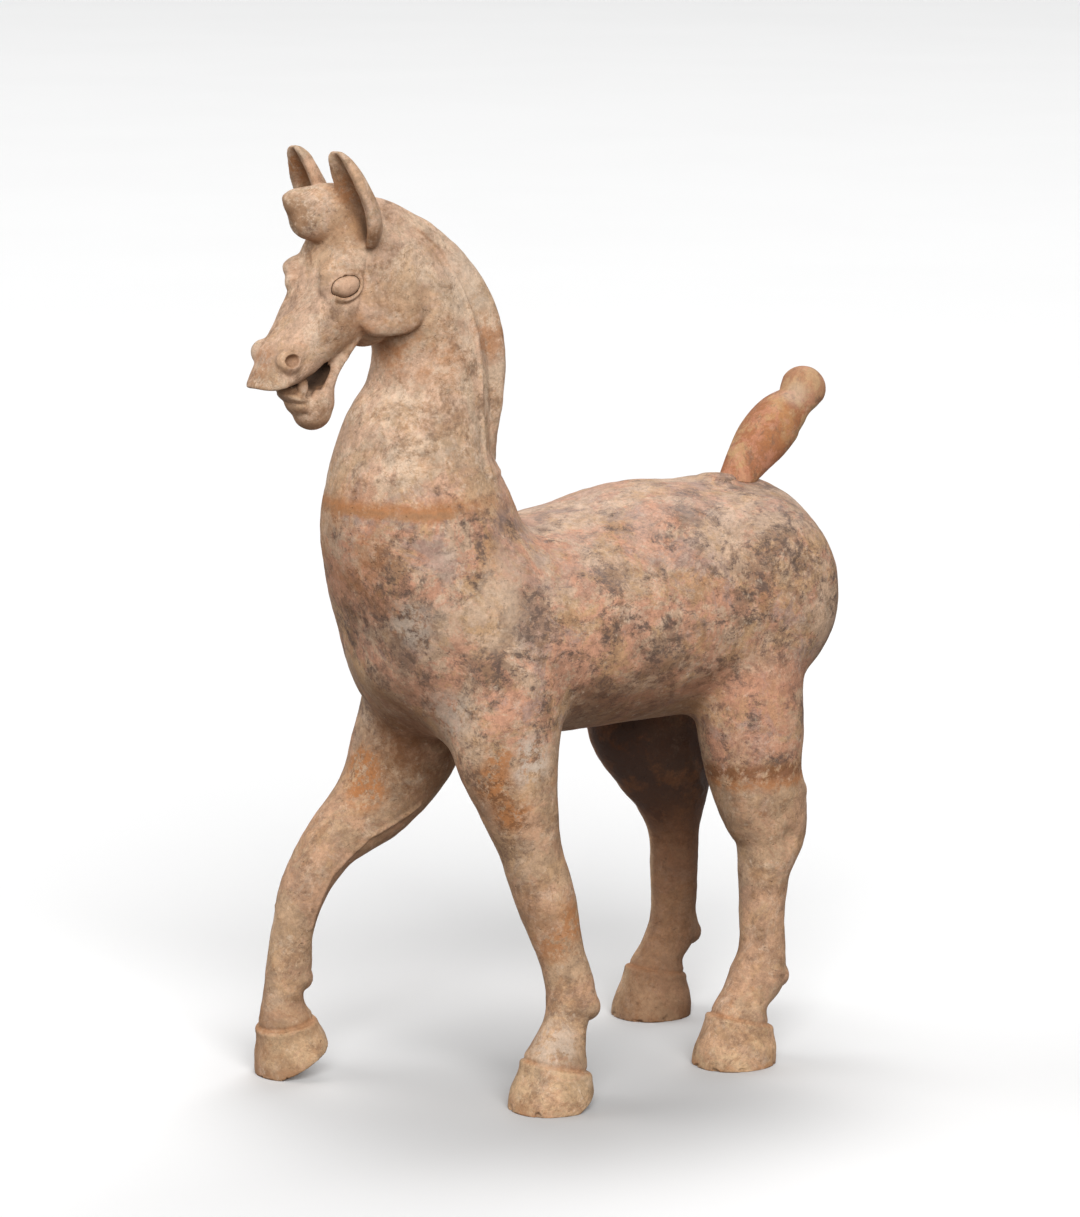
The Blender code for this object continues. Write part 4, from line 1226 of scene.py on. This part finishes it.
class TerracottaColours(bpy.types.PropertyGroup):
    """Colours of the fired clay, of what lies on it, and of painted shade and sheen."""

    buff: tone("Buff", (0.57, 0.380, 0.255), "Main colour of the clay")
    pale: tone("Pale buff", (0.69, 0.495, 0.345), "Clay of the head and neck")
    tan: tone("Tan", (0.52, 0.335, 0.205), "Clay of the legs")
    orange: tone("Orange", (0.37, 0.152, 0.072), "Clay of the tail")
    horn: tone("Yellow buff", (0.61, 0.405, 0.235), "Clay of the hooves")
    pink: tone("Pink", (0.545, 0.250, 0.155), "Where the clay is fired harder")
    ochre: tone("Ochre", (0.51, 0.305, 0.155), "Where the clay is fired softer")
    cream: tone("Cream", (0.74, 0.58, 0.44), "Dry pale bloom on the head and neck")
    lilac: tone("Lilac", (0.37, 0.255, 0.215), "Thin grey bloom of lime on the body")
    ash: tone("Ash", (0.60, 0.475, 0.375), "Grey-white lime on the breast and forelegs")
    stain: tone("Stain", (0.20, 0.12, 0.08), "Brown burial stains")
    umber: tone("Umber", (0.36, 0.195, 0.100), "Warm brown stains on the head and legs")
    # Red earth, also used as painted shade under the body, at the right foreleg's armpit and on the far hind
    # leg.
    soil_and_shade: tone("Soil", (0.21, 0.090, 0.037), "Red earth on the undersides")
    rust: tone("Rust", (0.44, 0.185, 0.07), "Orange iron stains")
    # Dark grains and flecks, also used as painted shade on the far hind leg's inner side.
    speck_and_shade: tone("Speck", (0.105, 0.070, 0.058), "Dark grains and flecks")
    # Dirt with painted shade: the next two colours darken the shallow and the deep hollows.
    hollow_dirt_and_shade: tone("Dirt", (0.36, 0.17, 0.075), "Dirt in shallow hollows")
    deep_dirt_and_shade: tone("Deep dirt", (0.10, 0.06, 0.038), "Dirt in deep hollows")
    dust: tone("Dust", (0.74, 0.57, 0.42), "Pale dust on the skin")
    # Grey dust and a painted sheen, for the surfaces that face up.
    back: tone("Back", (0.62, 0.50, 0.44), "Grey dust on the back")
    # Dirt and painted shade inside the mouth.
    mouth: tone("Mouth", (0.035, 0.020, 0.014), "Dark inside of the mouth")
    eyes: tone("Eyes", (0.66, 0.41, 0.27), "Clay of the eyeballs")
    paper: tone("Paper", (0.9, 0.9, 0.9), "Floor of the studio")


class StudioSettings(bpy.types.PropertyGroup):
    """Camera and light."""

    heading: FloatProperty(
        name="Heading",
        description="Turn of the camera round the horse, from its left side towards its head",
        default=math.radians(-35.0),
        subtype="ANGLE",
    )
    pitch: FloatProperty(
        name="Pitch", description="How far the camera looks down", default=math.radians(10.4), subtype="ANGLE"
    )
    distance: length("Distance", 5.6, "From the camera to the horse, over the floor")
    height: length("Height", 1.594, "Height of the camera above the floor")
    lens: FloatProperty(
        name="Focal length", description="Focal length of the lens, in millimetres", default=142.46, min=10.0
    )
    key: FloatProperty(
        name="Key light",
        description="Strength of the soft light from the left of the camera",
        default=3.35,
        min=0.0,
    )
    ambient: FloatProperty(
        name="Ambient light", description="Strength of the light from all round", default=0.14, min=0.0
    )


class TERRACOTTA_OT_horse(bpy.types.Operator):
    """Models the horse's body, with its head and legs, and fires it"""

    bl_idname = "terracotta.horse"
    bl_label = "Horse"

    def execute(self, context):
        body = horse_mesh(context.scene.terracotta_sizes)
        finish_piece(body, clay_finish("buff_terracotta", context.scene.terracotta_colours))
        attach(body, "root")
        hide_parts("horse")
        return {"FINISHED"}


class TERRACOTTA_OT_tail(bpy.types.Operator):
    """Models the tail and sets it in the rump"""

    bl_idname = "terracotta.tail"
    bl_label = "Tail"

    def execute(self, context):
        club = tail_mesh()
        finish_piece(club, tail_finish("orange_terracotta", context.scene.terracotta_colours))
        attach(club, "root")
        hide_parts("tail")
        return {"FINISHED"}


class TERRACOTTA_OT_stage(bpy.types.Operator):
    """Sets up the pale floor, the soft light and the camera"""

    bl_idname = "terracotta.stage"
    bl_label = "Studio"

    def execute(self, context):
        scene = context.scene
        studio = scene.terracotta_studio
        reach = FLOOR_REACH
        floor = slab("paper_floor", (-reach, -reach, -0.02), (reach, reach, FLOOR_TOP))
        finish_piece(floor, floor_finish(scene.terracotta_colours.paper))
        floor.visible_diffuse = False  # so that the paper throws no light up at the belly

        world = bpy.data.worlds.new("studio_air")
        world.use_nodes = True
        air = world.node_tree.nodes["Background"]
        air.inputs["Color"].default_value = (1.0, 1.0, 1.0, 1.0)
        air.inputs["Strength"].default_value = studio.ambient
        scene.world = world

        for name, (heading, rise, share) in LAMPS.items():
            soft_lamp(name, heading, rise, studio.key * share)

        lens = bpy.data.cameras.new("camera")
        lens.lens = studio.lens
        lens.sensor_fit = "VERTICAL"
        lens.sensor_height = SENSOR_HEIGHT
        camera = bpy.data.objects.new("camera", lens)
        camera.location = (
            math.sin(studio.heading) * studio.distance + LENS_AXIS[0],
            -math.cos(studio.heading) * studio.distance + LENS_AXIS[1],
            studio.height,
        )
        camera.rotation_euler = (math.pi / 2 - studio.pitch, 0.0, studio.heading)
        scene.collection.objects.link(camera)
        scene.camera = camera
        scene.view_settings.view_transform = "Standard"
        return {"FINISHED"}


class TERRACOTTA_PT_panel(bpy.types.Panel):
    """Sizes, colours and the steps that make the horse"""

    bl_label = "Terracotta Horse"
    bl_space_type = "VIEW_3D"
    bl_region_type = "UI"
    bl_category = "Terracotta Horse"

    def draw(self, context):
        scene = context.scene
        for group in (scene.terracotta_sizes, scene.terracotta_colours, scene.terracotta_studio):
            box = self.layout.box()
            for name in group.__annotations__:
                box.prop(group, name)
        for step in STEPS:
            self.layout.operator(step.bl_idname)


STEPS = (TERRACOTTA_OT_horse, TERRACOTTA_OT_tail, TERRACOTTA_OT_stage)
CLASSES = (TerracottaSizes, TerracottaColours, StudioSettings, *STEPS, TERRACOTTA_PT_panel)


def register():
    for cls in CLASSES:
        bpy.utils.register_class(cls)
    bpy.types.Scene.terracotta_sizes = PointerProperty(type=TerracottaSizes)
    bpy.types.Scene.terracotta_colours = PointerProperty(type=TerracottaColours)
    bpy.types.Scene.terracotta_studio = PointerProperty(type=StudioSettings)


def unregister():
    del bpy.types.Scene.terracotta_studio
    del bpy.types.Scene.terracotta_colours
    del bpy.types.Scene.terracotta_sizes
    for cls in reversed(CLASSES):
        bpy.utils.unregister_class(cls)


def main():
    """Makes the horse, its tail and the studio."""
    register()
    bpy.ops.terracotta.horse()
    bpy.ops.terracotta.tail()
    bpy.ops.terracotta.stage()


if __name__ == "__main__":
    main()
